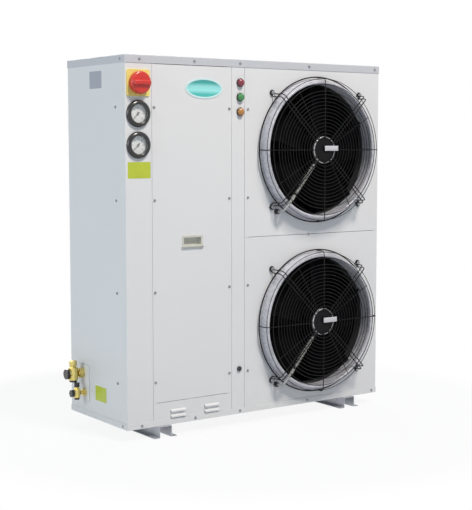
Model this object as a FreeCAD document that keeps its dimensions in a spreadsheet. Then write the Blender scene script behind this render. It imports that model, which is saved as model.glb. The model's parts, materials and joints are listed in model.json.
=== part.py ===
import FreeCAD, Part
import math
import os
import re
import Sketcher

Vector = FreeCAD.Vector
Rotation = FreeCAD.Rotation

# Two-fan refrigeration condensing unit in a sheet-metal cabinet.
# Millimetres. X runs to the right seen from the front, Y to the back, Z up.
# The origin is the centre of the foot bolt pattern, at floor level.

DRIVING_SIZES = {
    # Cabinet
    "cabinet_width": 1105,
    "cabinet_depth": 400,
    "cabinet_height": 1250,
    "sheet": 1.2,
    "slip": 0.3,
    "seam": 1.4,
    "fold": 20,
    "landing": 17,
    "tray_floor": 2,
    "base_lip": 20,
    "lid_skirt": 27,
    "lid_round": 3,
    "strip_width": 100.5,
    "door_width": 325.5,
    "pilot_strip_width": 54,
    "kick_height": 79,
    "fan_seam_height": 629,
    "rib_inset": 24,
    "rib_depth": 12,
    # Louvres of the kick panel
    "louvre_length": 60,
    "louvre_slot": 5,
    "louvre_rise": 5,
    "louvre_row_pitch": 19,
    "louvre_low_row": 23,
    "louvre_left_column": 200,
    "louvre_right_column": 340,
    # Feet
    "foot_height": 40,
    "foot_spacing": 820,
    "foot_top": 50,
    "foot_flange": 20,
    "foot_sheet": 2.5,
    "foot_reach": 12,
    "foot_bolt_spacing": 340,
    "foot_bolt_hole": 5.5,
    # Grip in the service panel
    "grip_width": 74,
    "grip_height": 28,
    "grip_depth": 16,
    "grip_wall": 1.5,
    "grip_rim": 5,
    "grip_x": 261,
    "grip_z": 627,
    # Fans
    "fan_x": 803,
    "upper_fan_z": 936,
    "lower_fan_z": 307,
    "throat": 238,
    "nozzle_base": 255,
    "nozzle_rim": 247,
    "nozzle_rise": 40,
    "nozzle_depth": 47,
    "nozzle_sheet": 1.8,
    "panel_hole_gap": 4,
    "tip_gap": 4,
    "blade_sheet": 2.2,
    "blade_root_chord": 96,
    "blade_mid_chord": 132,
    "blade_tip_chord": 158,
    "blade_root_angle": 30,
    "blade_mid_angle": 23,
    "blade_tip_angle": 17,
    "blade_mid_sweep": 12,
    "blade_tip_sweep": 44,
    "blade_camber": 9,
    "blade_level": -22,
    "blade_embed": 7,
    # Fan motors
    "rotor_radius": 59,
    "rotor_length": 78,
    "rotor_wall": 13,
    "rotor_end": 8,
    "stator_gap": 2,
    "stator_length": 62,
    "stator_flange": 50,
    "flange_thickness": 12,
    "air_gap": 4,
    "shaft_radius": 6,
    "shaft_clearance": 0.05,
    # Wire guards
    "wire": 3.5,
    "guard_stand": 50,
    "guard_inner_ring": 45,
    "guard_ring_pitch": 63.5,
    "guard_hem": 262,
    "guard_hem_level": 6,
    "weld_gap": 0.02,
    "arm_start": 47,
    "arm_spread": 14,
    "eyelet_circle": 287,
    "eyelet_outer": 12,
    "eyelet_hole": 4.6,
    # Motor leads
    "lead_radius": 4,
    "lead_level": 44.5,
    "lead_bend": 20,
    "gland_x": -182,
    "gland_z": -220,
    "gland_radius": 11,
    "gland_height": 14,
    "hub_gland_radius": 5,
    "hub_gland_length": 16,
    "clip_position": 200,
    "clip_width": 8,
    "clip_wall": 1.2,
    # Main switch
    "control_x": 49,
    "switch_z": 1158,
    "switch_plate": 88,
    "switch_plate_round": 8,
    "switch_plate_thickness": 4,
    "switch_body_side": 60,
    "switch_body_depth": 55,
    "knob_radius": 37,
    "knob_base": 10,
    "knob_grip": 22,
    "knob_grip_width": 20,
    "knob_clearance": 0.6,
    "spindle_radius": 4,
    "spindle_length": 18,
    # Pressure gauges
    "upper_gauge_z": 1057,
    "lower_gauge_z": 954,
    "gauge_bezel": 45,
    "gauge_proud": 12,
    "gauge_case": 39,
    "gauge_case_depth": 30,
    "gauge_bore": 30.5,
    "gauge_floor": -2,
    "dial_thickness": 1,
    "glass_level": 8,
    "glass_thickness": 2,
    "needle_length": 23,
    "needle_tail": 8,
    "needle_width": 2.6,
    "needle_level": 1,
    "needle_thickness": 0.8,
    "needle_hub": 4,
    "needle_pin": 1.5,
    "needle_zero_angle": 225,
    # Pilot lights
    "pilot_x": 461.5,
    "upper_pilot_z": 1170,
    "middle_pilot_z": 1120,
    "lower_pilot_z": 1069,
    "pilot_bezel": 15.5,
    "pilot_bezel_height": 4,
    "pilot_lens": 13,
    "pilot_lens_height": 11,
    "pilot_barrel": 11,
    "pilot_depth": 40,
    "plug_x": 457,
    "plug_z": 162,
    "plug_radius": 9,
    "plug_height": 5,
    # Service valves on the left side
    "valve_plate_y": 303,
    "valve_plate_z": 118,
    "valve_plate_width": 80,
    "valve_plate_height": 128,
    "valve_plate_thickness": 3,
    "suction_valve_y": 309,
    "suction_valve_z": 151,
    "suction_pipe": 11,
    "suction_body": 17,
    "liquid_valve_y": 292,
    "liquid_valve_z": 84,
    "liquid_pipe": 6.5,
    "liquid_body": 12,
    "valve_reach": 24,
    "valve_cap_length": 22,
    "pipe_hole_gap": 2,
    # Cabinet inside
    "coil_depth": 44,
    "coil_back_gap": 22,
    "coil_side_gap": 26,
    "coil_end_gap": 34,
    "end_plate": 2,
    "fin_pitch": 20,
    "fin_gap": 9,
    "fin_cut": 9,
    "coil_guard_pitch": 75,
    "coil_guard_wire": 4,
    "compressor_x": 230,
    "compressor_y": 190,
    "compressor_radius": 83,
    "compressor_height": 410,
    "compressor_dome": 42,
    "foot_plate_side": 220,
    "foot_plate_sheet": 5,
    "grommet_radius": 15,
    "grommet_height": 24,
    "grommet_spacing": 190,
    "receiver_x": 400,
    "receiver_y": 335,
    "receiver_radius": 55,
    "receiver_height": 420,
    "receiver_dome": 24,
    "receiver_foot": 36,
    "drier_x": 400,
    "drier_y": 335,
    "drier_z": 640,
    "drier_radius": 30,
    "drier_length": 130,
    "drier_neck": 14,
    "discharge_radius": 8,
    "line_radius": 5,
    "suction_drop": 90,
    "suction_level": 330,
    "discharge_level": 520,
    "condensate_level": 90,
    "condensate_riser": 470,
    "receiver_inlet": 340,
    "liquid_level": 820,
    "liquid_drop": 64,
    "electrical_box_z": 880,
    "electrical_box_width": 270,
    "electrical_box_height": 290,
    "electrical_box_depth": 110,
    "electrical_box_front": 70,
    "contactor_width": 45,
    "contactor_height": 78,
    "contactor_depth": 70,
    "breaker_width": 36,
    "breaker_gap": 1,
    "contactor_gap": 12,
    "contactor_step": 8,
    "gear_margin": 30,
    "gear_end_margin": 40,
    # Fasteners
    "lip_screw_first": 55,
    "lip_screw_second": 271,
    "lip_screw_third": 461,
    "lip_screw_fourth": 768,
    "lip_screw_end": 21,
    "face_screw_low": 151,
    "face_screw_lower_middle": 458,
    "face_screw_upper_middle": 769,
    "face_screw_high": 1079,
    "side_screw_y": 63,
    "fan_panel_screw_inset": 15.5,
    "door_screw_inset": 9,
    "screw_head": 5,
    "screw_rise": 3,
    "bolt_head": 7.5,
    "bolt_rise": 5.5,
}

document = FreeCAD.newDocument("CondensingUnit")
sheet = document.addObject("Spreadsheet::Sheet", "Sizes")
for row, (alias, value) in enumerate(DRIVING_SIZES.items(), start=1):
    sheet.set(f"A{row}", alias.replace("_", " "))
    sheet.set(f"B{row}", str(value))
    sheet.setAlias(f"B{row}", alias)
document.recompute()

NODES = []

# Places that many pieces share, as expressions in the sheet's names
LEFT = "(-cabinet_width / 2)"
RIGHT = "(cabinet_width / 2)"
FRONT = "(-cabinet_depth / 2)"
BACK = "(cabinet_depth / 2)"
FLOOR = "(foot_height + tray_floor)"
BASE = "foot_height"
TOP = "(foot_height + cabinet_height)"
UNDER_LID = "(foot_height + cabinet_height - sheet)"
STRIP_EDGE = "(-cabinet_width / 2 + strip_width)"
DOOR_EDGE = "(-cabinet_width / 2 + strip_width + door_width)"
FAN_EDGE = "(-cabinet_width / 2 + strip_width + door_width + pilot_strip_width)"

# Turns that point a piece's own Z axis away from the cabinet
UP = Rotation()
TO_FRONT = Rotation(Vector(1, 0, 0), 90)
TO_LEFT = Rotation(Vector(0, -1, 0), Vector(0, 0, 1), Vector(-1, 0, 0), "ZYX")


# Helpers: expressions, primitives and bodies
def bound(text):
    """An expression in which each size is read from the sheet."""
    return re.sub(r"[a-z][a-z_]*", lambda m: "Sizes." + m[0] if m[0] in DRIVING_SIZES else m[0], str(text))


def number(text):
    """The value of an expression, for shapes that are computed here."""
    return float(sheet.evalExpression(str(text)))


def tie(piece, **expressions):
    for name, text in expressions.items():
        piece.setExpression(name.replace("_of_", "."), bound(text))


def place(piece, at, turn=UP):
    piece.Placement = FreeCAD.Placement(Vector(), turn)
    for axis, text in zip("xyz", at):
        piece.setExpression(f"Placement.Base.{axis}", bound(text))
    return piece


def node(piece, label):
    """Names a finished sub-part, which is then written to its own file."""
    piece.Label = label
    NODES.append(piece)
    return piece


def box(at, spans):
    piece = document.addObject("Part::Box", "Block")
    tie(piece, Length=spans[0], Width=spans[1], Height=spans[2])
    return place(piece, at)


def rod(at, radius, length, turn=UP):
    piece = document.addObject("Part::Cylinder", "Rod")
    tie(piece, Radius=radius, Height=length)
    return place(piece, at, turn)


def taper(at, radius_low, radius_high, length, turn=UP):
    piece = document.addObject("Part::Cone", "Taper")
    tie(piece, Radius1=radius_low, Radius2=radius_high, Height=length)
    return place(piece, at, turn)


def hexagon(at, corner_radius, length, turn=UP):
    piece = document.addObject("Part::Prism", "Hexagon")
    piece.Polygon = 6
    tie(piece, Circumradius=corner_radius, Height=length)
    return place(piece, at, turn)


def fuse(pieces):
    piece = document.addObject("Part::MultiFuse", "Joined")
    piece.Shapes = pieces
    return piece


def cut(base, tools):
    piece = document.addObject("Part::Cut", "Cut")
    piece.Base = base
    piece.Tool = tools[0] if len(tools) == 1 else group(tools)
    return piece


def group(pieces):
    piece = document.addObject("Part::Compound", "Group")
    piece.Links = pieces
    return piece


def new_body(at=("0", "0", "0"), turn=UP):
    return place(document.addObject("PartDesign::Body", "Body"), at, turn)


def draw(body, plane, outlines=(), circles=(), offset=None):
    """A sketch on one of the body's origin planes, each point bound to its expressions."""
    sketch = body.newObject("Sketcher::SketchObject", "Sketch")
    origin_plane = next(f for f in body.Origin.OriginFeatures if f.Role == plane)
    sketch.AttachmentSupport = [(origin_plane, "")]
    sketch.MapMode = "FlatFace"
    if offset is not None:
        sketch.setExpression("AttachmentOffset.Base.z", bound(offset))
    def pin(geometry, point, across, up):
        for kind, text in (("DistanceX", across), ("DistanceY", up)):
            value = number(text)
            index = sketch.addConstraint(Sketcher.Constraint(kind, -1, 1, geometry, point, value))
            sketch.setExpression(f"Constraints[{index}]", bound(text))
    for outline in outlines:
        corners = [Vector(number(a), number(b), 0) for a, b in outline]
        lines = [
            sketch.addGeometry(Part.LineSegment(corners[i - 1], corners[i]), False)
            for i in range(len(corners))
        ]
        for i, line in enumerate(lines):
            follower = lines[(i + 1) % len(lines)]
            sketch.addConstraint(Sketcher.Constraint("Coincident", line, 2, follower, 1))
            pin(line, 2, *outline[i])
    for across, up, radius in circles:
        centre = Vector(number(across), number(up), 0)
        circle = sketch.addGeometry(Part.Circle(centre, Vector(0, 0, 1), number(radius)), False)
        pin(circle, 3, across, up)
        index = sketch.addConstraint(Sketcher.Constraint("Radius", circle, number(radius)))
        sketch.setExpression(f"Constraints[{index}]", bound(radius))
    return sketch


def pad(body, sketch, length, reverse=False, midplane=False):
    feature = body.newObject("PartDesign::Pad", "Pad")
    feature.Profile = sketch
    feature.Reversed = reverse
    feature.Midplane = midplane
    tie(feature, Length=length)
    return feature


def pocket(body, sketch, length=None, reverse=False):
    feature = body.newObject("PartDesign::Pocket", "Pocket")
    feature.Profile = sketch
    feature.Reversed = reverse
    if length is None:
        feature.Type = "ThroughAll"
    else:
        tie(feature, Length=length)
    return feature


def spin(body, sketch):
    feature = body.newObject("PartDesign::Revolution", "Revolution")
    feature.Profile = sketch
    feature.ReferenceAxis = (sketch, ["V_Axis"])
    feature.Angle = 360
    return feature


def around(body, features, copies):
    """Repeats features around the body's own Z axis."""
    pattern = body.newObject("PartDesign::PolarPattern", "PolarPattern")
    pattern.Originals = features
    pattern.Axis = (next(f for f in body.Origin.OriginFeatures if f.Role == "Z_Axis"), [""])
    pattern.Angle = 360
    pattern.Occurrences = copies
    body.Tip = pattern


def rectangle(left, low, right, high):
    return [(left, low), (right, low), (right, high), (left, high)]


def fillet(body, radius, chosen):
    """Rounds the edges of the body's tip that the test picks."""
    document.recompute()
    base = body.Tip
    names = [f"Edge{i + 1}" for i, edge in enumerate(base.Shape.Edges) if chosen(edge)]
    feature = body.newObject("PartDesign::Fillet", "Fillet")
    feature.Base = (base, names)
    tie(feature, Radius=radius)
    return feature


def from_left(distance):
    """A place given as the distance from the cabinet's left face."""
    return f"(-cabinet_width / 2 + {distance})"


def from_front(distance):
    """A place given as the distance behind the cabinet's front face."""
    return f"(-cabinet_depth / 2 + {distance})"


def from_base(height):
    """A level given as the height above the underside of the base tray."""
    return f"(foot_height + {height})"


# Base tray: a folded pan whose lip stands outside the panels
def base_tray():
    body = new_body(("0", "0", BASE))
    reach_x = "cabinet_width / 2 + slip + sheet"
    reach_y = "cabinet_depth / 2 + slip + sheet"
    outside = rectangle(f"-({reach_x})", f"-({reach_y})", reach_x, reach_y)
    pad(body, draw(body, "XY_Plane", [outside]), "base_lip")
    inner_x = "cabinet_width / 2 + slip"
    inner_y = "cabinet_depth / 2 + slip"
    inside = rectangle(f"-({inner_x})", f"-({inner_y})", inner_x, inner_y)
    pocket(body, draw(body, "XY_Plane", [inside], offset="base_lip"), "base_lip - tray_floor")
    node(body, "base_tray")


# Feet: two hat-section rails that run from front to back, with bolt holes in the outer flange
def foot_rail(side, label):
    body = new_body((f"{side} * foot_spacing / 2", "cabinet_depth / 2 + foot_reach", "0"), TO_FRONT)
    top, wall, flange = "foot_top / 2", "foot_sheet", "foot_top / 2 + foot_flange"
    section = [
        (f"-({flange})", "0"), (f"-({top}) + {wall}", "0"),
        (f"-({top}) + {wall}", f"foot_height - {wall}"), (f"{top} - {wall}", f"foot_height - {wall}"),
        (f"{top} - {wall}", "0"), (flange, "0"), (flange, wall), (top, wall), (top, "foot_height"),
        (f"-({top})", "foot_height"), (f"-({top})", wall), (f"-({flange})", wall),
    ]
    pad(body, draw(body, "XY_Plane", [section]), "cabinet_depth + 2 * foot_reach")
    across = f"{side} * (foot_top / 2 + foot_flange / 2)"
    middle = "cabinet_depth / 2 + foot_reach"
    holes = [
        (across, f"{middle} + {end} * foot_bolt_spacing / 2", "foot_bolt_hole") for end in (-1, 1)
    ]
    pocket(body, draw(body, "XZ_Plane", circles=holes), "2 * foot_sheet", reverse=False)
    node(body, label)


# Left side: one sheet folded round the front corner, with a joggled landing for the service panel
def left_panel():
    body = new_body(("0", "0", FLOOR))
    seat = f"{FRONT} + sheet + slip"
    section = [
        (f"{LEFT} + fold", BACK), (LEFT, BACK), (LEFT, FRONT), (STRIP_EDGE, FRONT),
        (STRIP_EDGE, seat), (f"{STRIP_EDGE} + landing", seat),
        (f"{STRIP_EDGE} + landing", f"{seat} + sheet"), (f"{STRIP_EDGE} - sheet", f"{seat} + sheet"),
        (f"{STRIP_EDGE} - sheet", f"{FRONT} + sheet"), (f"{LEFT} + sheet", f"{FRONT} + sheet"),
        (f"{LEFT} + sheet", f"{BACK} - sheet"), (f"{LEFT} + fold", f"{BACK} - sheet"),
    ]
    pad(body, draw(body, "XY_Plane", [section]), "cabinet_height - sheet - tray_floor")
    cutouts = [
        (from_left("control_x"), f"{height} - tray_floor", f"{radius} + slip")
        for height, radius in (
            ("upper_gauge_z", "gauge_case"), ("lower_gauge_z", "gauge_case"),
            ("switch_z", "switch_body_side / 3"),
        )
    ]
    pocket(body, draw(body, "XZ_Plane", circles=cutouts), reverse=True)
    pipes = [
        (from_front(f"{name}_valve_y"), f"{name}_valve_z - tray_floor", f"{name}_pipe + pipe_hole_gap")
        for name in ("suction", "liquid")
    ]
    pocket(body, draw(body, "YZ_Plane", circles=pipes))
    node(body, "left_panel")


# Right side: a folded sheet whose returns carry the fan panels and the coil guard
def right_panel():
    body = new_body(("0", "0", FLOOR))
    inner_front = f"{FRONT} + sheet"
    section = [
        (RIGHT, inner_front), (RIGHT, BACK), (f"{RIGHT} - fold", BACK),
        (f"{RIGHT} - fold", f"{BACK} - sheet"), (f"{RIGHT} - sheet", f"{BACK} - sheet"),
        (f"{RIGHT} - sheet", f"{inner_front} + sheet"), (f"{RIGHT} - fold", f"{inner_front} + sheet"),
        (f"{RIGHT} - fold", inner_front),
    ]
    pad(body, draw(body, "XY_Plane", [section]), "cabinet_height - sheet - tray_floor")
    node(body, "right_panel")


# Rear panel of the machine compartment
def rear_panel():
    body = new_body(("0", f"{BACK} - sheet", "0"), TO_FRONT)
    outline = rectangle(f"{LEFT} + sheet + slip", FLOOR, f"{FAN_EDGE} - slip", UNDER_LID)
    pad(body, draw(body, "XY_Plane", [outline]), "sheet")
    rows = []
    for level in range(6):
        low = from_base(f"(kick_height + {level} * louvre_row_pitch)")
        rows.append(rectangle(
            from_left("louvre_left_column"), low,
            f"{from_left('louvre_left_column')} + 2 * louvre_length", f"{low} + louvre_slot"))
    pocket(body, draw(body, "XY_Plane", rows), reverse=True)
    node(body, "rear_panel")


# Lid: a shallow pan turned over, its skirt outside the panels
def lid():
    body = new_body(("0", "0", f"{TOP} - lid_skirt"))
    reach_x = "cabinet_width / 2 + slip + sheet"
    reach_y = "cabinet_depth / 2 + slip + sheet"
    outside = rectangle(f"-({reach_x})", f"-({reach_y})", reach_x, reach_y)
    pad(body, draw(body, "XY_Plane", [outside]), "lid_skirt")
    top = number("lid_skirt")
    fillet(body, "lid_round", lambda e: all(abs(v.Z - top) < 1e-6 for v in e.Vertexes))
    inner_x = "cabinet_width / 2 + slip"
    inner_y = "cabinet_depth / 2 + slip"
    inside = rectangle(f"-({inner_x})", f"-({inner_y})", inner_x, inner_y)
    pocket(body, draw(body, "XY_Plane", [inside]), "lid_skirt - sheet", reverse=True)
    node(body, "lid")


# Service panel with a folded rib behind it and a hole for the grip
def service_panel():
    body = new_body(("0", f"{FRONT} + sheet", "0"), TO_FRONT)
    left, right = f"{STRIP_EDGE} + seam", f"{DOOR_EDGE} - seam"
    low, high = from_base("kick_height + seam"), f"{TOP} - lid_skirt - seam"
    pad(body, draw(body, "XY_Plane", [rectangle(left, low, right, high)]), "sheet")
    ribs = [
        rectangle(
            f"{left} + rib_inset + {step}", f"{low} + rib_inset + {step}",
            f"{right} - rib_inset - {step}", f"{high} - rib_inset - {step}")
        for step in ("0", "sheet")
    ]
    pad(body, draw(body, "XY_Plane", ribs), "rib_depth", reverse=True)
    hole = rectangle(
        from_left("grip_x - grip_width / 2"), from_base("grip_z - grip_height / 2"),
        from_left("grip_x + grip_width / 2"), from_base("grip_z + grip_height / 2"))
    pocket(body, draw(body, "XY_Plane", [hole]), reverse=True)
    node(body, "service_panel")


# Grip: a shallow cup set into the service panel
def grip_cup():
    centre = (from_left("grip_x"), FRONT, from_base("grip_z"))
    body = new_body(centre, TO_FRONT)
    half_x, half_z = "grip_width / 2 - slip", "grip_height / 2 - slip"
    rim_x, rim_z = "grip_width / 2 + grip_rim", "grip_height / 2 + grip_rim"
    pad(body, draw(body, "XY_Plane", [rectangle(f"-({rim_x})", f"-({rim_z})", rim_x, rim_z)]), "grip_wall")
    pad(body, draw(body, "XY_Plane", [rectangle(f"-({half_x})", f"-({half_z})", half_x, half_z)]),
        "grip_depth", reverse=True)
    in_x, in_z = f"{half_x} - grip_wall", f"{half_z} - grip_wall"
    inside = rectangle(f"-({in_x})", f"-({in_z})", in_x, in_z)
    pocket(body, draw(body, "XY_Plane", [inside], offset="grip_wall"), "grip_depth")
    node(body, "grip_cup")


# Kick panel with pressed louvres, each a hood over a slot
def kick_panel():
    body = new_body(("0", f"{FRONT} + sheet", "0"), TO_FRONT)
    outline = rectangle(f"{STRIP_EDGE} + seam", FLOOR, f"{DOOR_EDGE} - seam", from_base("kick_height"))
    pad(body, draw(body, "XY_Plane", [outline]), "sheet")
    slots = []
    for column in ("louvre_left_column", "louvre_right_column"):
        for level in (0, 1):
            low = from_base(f"(louvre_low_row + {level} * louvre_row_pitch)")
            centre = from_left(column)
            slots.append(rectangle(
                f"{centre} - louvre_length / 2", low, f"{centre} + louvre_length / 2",
                f"{low} + louvre_slot"))
            hood = [
                (f"{low} + louvre_slot", "0"), (f"{low} + 2 * louvre_slot", "sheet"),
                (f"{low} + louvre_slot", "louvre_rise + sheet"), (low, "louvre_rise + sheet"),
                (low, "louvre_rise"), (f"{low} + louvre_slot", "louvre_rise"),
            ]
            sketch = draw(body, "YZ_Plane", [hood], offset=centre)
            pad(body, sketch, "louvre_length", midplane=True)
    pocket(body, draw(body, "XY_Plane", slots), "sheet", reverse=True)
    node(body, "kick_panel")


# Narrow strip between the service panel and the fans, which carries the pilot lights
def pilot_strip():
    body = new_body(("0", "0", FLOOR))
    seat = f"{FRONT} + sheet + slip"
    section = [
        (DOOR_EDGE, FRONT), (FAN_EDGE, FRONT), (FAN_EDGE, f"{FRONT} + 2 * fold"),
        (f"{FAN_EDGE} - sheet", f"{FRONT} + 2 * fold"), (f"{FAN_EDGE} - sheet", f"{FRONT} + sheet"),
        (f"{DOOR_EDGE} + sheet", f"{FRONT} + sheet"), (f"{DOOR_EDGE} + sheet", f"{seat} + sheet"),
        (f"{DOOR_EDGE} - landing", f"{seat} + sheet"), (f"{DOOR_EDGE} - landing", seat),
        (DOOR_EDGE, seat),
    ]
    pad(body, draw(body, "XY_Plane", [section]), "cabinet_height - sheet - tray_floor")
    holes = [
        (from_left("pilot_x"), f"{name}_pilot_z - tray_floor", "pilot_barrel + slip")
        for name in ("upper", "middle", "lower")
    ]
    holes.append((from_left("plug_x"), "plug_z - tray_floor", "plug_radius / 2 + slip"))
    pocket(body, draw(body, "XZ_Plane", circles=holes), reverse=True)
    node(body, "pilot_strip")


# Fan panels, one above the other, each with the hole that its nozzle lines
def fan_panel(name, low, high):
    body = new_body(("0", f"{FRONT} + sheet", "0"), TO_FRONT)
    outline = rectangle(f"{FAN_EDGE} + seam", low, RIGHT, high)
    hole = (from_left("fan_x"), from_base(f"{name}_fan_z"), "throat + nozzle_sheet + panel_hole_gap")
    pad(body, draw(body, "XY_Plane", [outline], circles=[hole]), "sheet")
    node(body, f"{name}_fan_panel")


# Partition between the machine compartment and the fan compartment
def partition():
    body = new_body(("0", "0", FLOOR))
    near, far = f"{FRONT} + sheet", f"{BACK} - coil_back_gap - coil_depth"
    section = [
        (FAN_EDGE, near), (f"{FAN_EDGE} + fold", near), (f"{FAN_EDGE} + fold", f"{near} + sheet"),
        (f"{FAN_EDGE} + sheet", f"{near} + sheet"), (f"{FAN_EDGE} + sheet", far), (FAN_EDGE, far),
    ]
    pad(body, draw(body, "XY_Plane", [section]), "cabinet_height - sheet - tray_floor")
    node(body, "partition")


COIL_LEFT = f"({FAN_EDGE} + coil_side_gap)"
COIL_RIGHT = f"({RIGHT} - coil_side_gap)"
COIL_NEAR = f"({BACK} - coil_back_gap - coil_depth)"
COIL_FAR = f"({BACK} - coil_back_gap)"


# Condenser coil: a block of upright fins between two end plates
def condenser_coil():
    body = new_body(("0", "0", FLOOR))
    block = rectangle(COIL_LEFT, COIL_NEAR, COIL_RIGHT, COIL_FAR)
    pad(body, draw(body, "XY_Plane", [block]), "cabinet_height - sheet - tray_floor - coil_end_gap")
    start = f"{COIL_LEFT} + fin_pitch / 2"
    grooves = [
        rectangle(start, COIL_NEAR, f"{start} + fin_gap", f"{COIL_NEAR} + fin_cut"),
        rectangle(start, f"{COIL_FAR} - fin_cut", f"{start} + fin_gap", COIL_FAR),
    ]
    sketch = draw(body, "XY_Plane", grooves)
    groove = pocket(body, sketch, reverse=True)
    pattern = body.newObject("PartDesign::LinearPattern", "LinearPattern")
    pattern.Originals = [groove]
    pattern.Direction = (sketch, ["H_Axis"])
    run = "cabinet_width - strip_width - door_width - pilot_strip_width - 2 * coil_side_gap"
    copies = int((number(run) - number("fin_pitch")) // number("fin_pitch"))
    pattern.Occurrences = copies
    tie(pattern, Length=f"{copies - 1} * fin_pitch")
    body.Tip = pattern
    node(body, "condenser_fins")
    tall = "cabinet_height - sheet - tray_floor"
    left_end = box((f"{COIL_LEFT} - end_plate", COIL_NEAR, FLOOR), ("end_plate", "coil_depth", tall))
    side_plate = box((FAN_EDGE, COIL_NEAR, FLOOR), ("coil_side_gap - end_plate", "end_plate", tall))
    right_end = box((COIL_RIGHT, COIL_NEAR, FLOOR), ("end_plate", "coil_depth", tall))
    wing = box((f"{COIL_RIGHT} + end_plate", COIL_NEAR, FLOOR),
               ("coil_side_gap - end_plate - sheet", "end_plate", tall))
    node(group([fuse([left_end, side_plate]), fuse([right_end, wing])]), "coil_end_plates")


# Wire guard over the coil at the back of the cabinet
def coil_guard():
    low, high = FLOOR, UNDER_LID
    left, right = f"{FAN_EDGE} + slip", f"{RIGHT} - fold - slip"
    run = number(f"{RIGHT} - fold - ({FAN_EDGE})")
    rise = number(f"{UNDER_LID} - {FLOOR}")
    pitch = number("coil_guard_pitch")
    wires = []
    for i in range(1, int(run // pitch) + 1):
        wires.append(box((f"{left} + {i} * coil_guard_pitch - coil_guard_wire", f"{BACK} - coil_guard_wire", low),
                         ("coil_guard_wire", "coil_guard_wire", f"{high} - {low}")))
    for i in range(1, int(rise // pitch) + 1):
        wires.append(box((left, f"{BACK} - 2 * coil_guard_wire", f"{low} + {i} * coil_guard_pitch - coil_guard_wire"),
                         (f"{right} - ({left})", "coil_guard_wire", "coil_guard_wire")))
    for edge in (left, f"{right} - fold"):
        wires.append(box((edge, f"{BACK} - 3 * coil_guard_wire", low),
                         ("fold", "coil_guard_wire", f"{high} - {low}")))
    node(group(wires), "coil_guard")


FANS = ("upper", "lower")


def fan_centre(name):
    return (from_left("fan_x"), FRONT, from_base(f"{name}_fan_z"))


# Fan nozzles: bell-mouthed rings that stand proud of the fan panels
def nozzle(name):
    body = new_body(fan_centre(name), TO_FRONT)
    skin = "nozzle_sheet"
    spin(body, draw(body, "XZ_Plane", [[
        ("throat", "-nozzle_depth"), (f"throat + {skin}", "-nozzle_depth"),
        (f"throat + {skin}", f"nozzle_rise - {skin}"), (f"nozzle_rim - {skin}", f"nozzle_rise - {skin}"),
        (f"nozzle_base - {skin}", "0"), ("nozzle_base", "0"), ("nozzle_rim", "nozzle_rise"),
        ("throat", "nozzle_rise"),
    ]]))
    return body


# Wire guards: hoops welded on radial wires, and four double-wire arms that end in eyelets
HOOPS = 4
SPOKES = 12
ARMS = 4


def guard_hoops(name):
    body = new_body(fan_centre(name), TO_FRONT)
    level = "guard_stand + wire"
    squares = []
    for i in range(HOOPS):
        radius = f"guard_inner_ring + {i} * guard_ring_pitch"
        squares.append(rectangle(radius, level, f"{radius} + wire", f"{level} + wire"))
    squares.append(rectangle("guard_hem", "guard_hem_level", "guard_hem + wire", "guard_hem_level + wire"))
    spin(body, draw(body, "XZ_Plane", squares))
    return body


def guard_spokes(name):
    body = new_body(fan_centre(name), TO_FRONT)
    side = [
        ("guard_inner_ring", "guard_stand"), ("guard_hem - wire", "guard_stand"),
        ("guard_hem - wire", "guard_hem_level"), ("guard_hem - weld_gap", "guard_hem_level"),
        ("guard_hem - weld_gap", "guard_stand + wire"), ("guard_inner_ring", "guard_stand + wire"),
    ]
    spoke = pad(body, draw(body, "XZ_Plane", [side]), "wire", midplane=True)
    around(body, [spoke], SPOKES)
    return body


def guard_arms(name):
    body = new_body(fan_centre(name), TO_FRONT * Rotation(Vector(0, 0, 1), 45))
    reach = "eyelet_circle - eyelet_outer"
    leg = [
        ("arm_start", "guard_stand"), (f"{reach} - wire", "guard_stand"), (f"{reach} - wire", "slip"),
        ("eyelet_circle - eyelet_hole", "slip"), ("eyelet_circle - eyelet_hole", "slip + wire"),
        (reach, "slip + wire"), (reach, "guard_stand + wire"), ("arm_start", "guard_stand + wire"),
    ]
    features = [
        pad(body, draw(body, "XZ_Plane", [leg], offset=f"{way} * arm_spread / 2"), "wire", midplane=True)
        for way in (-1, 1)
    ]
    eyelet = draw(body, "XY_Plane", circles=[
        ("eyelet_circle", "0", "eyelet_outer"), ("eyelet_circle", "0", "eyelet_hole")], offset="slip")
    features.append(pad(body, eyelet, "wire"))
    around(body, features, ARMS)
    return body


# External-rotor motors: each stator hangs on its guard, and the rotor cup turns round it
FLANGE_BACK = "(guard_stand - flange_thickness)"
ROTOR_FRONT = "(guard_stand - flange_thickness - air_gap)"
ROTOR_BACK = "(guard_stand - flange_thickness - air_gap - rotor_length)"
BORE_END = "(guard_stand - flange_thickness - air_gap - slip)"


def stator(name):
    body = new_body(fan_centre(name), TO_FRONT)
    core = "rotor_radius - rotor_wall - stator_gap"
    bore = "shaft_radius + shaft_clearance"
    far_end = f"{FLANGE_BACK} - stator_length"
    spin(body, draw(body, "XZ_Plane", [[
        (bore, far_end), (core, far_end), (core, FLANGE_BACK), ("stator_flange", FLANGE_BACK),
        ("stator_flange", "guard_stand"), ("0", "guard_stand"), ("0", BORE_END), (bore, BORE_END),
    ]]))
    return body


# Fan rotor: the cup and shaft, with lofted sickle blades welded round it and trimmed to the throat
BLADE_COUNT = 5


def blade_section(chord, angle, sweep):
    """A thin cambered strip, seen from the hub outwards: across is the way round, up is the axis."""
    along = f"{chord} / 2 * cos({angle})"
    rise = f"{chord} / 2 * sin({angle})"
    low = [
        (f"{sweep} - {along}", f"blade_level - {rise}"),
        (f"{sweep} + blade_camber * sin({angle})", f"blade_level - blade_camber * cos({angle})"),
        (f"{sweep} + {along}", f"blade_level + {rise}"),
    ]
    return low + [(across, f"{up} + blade_sheet") for across, up in reversed(low)]


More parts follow.
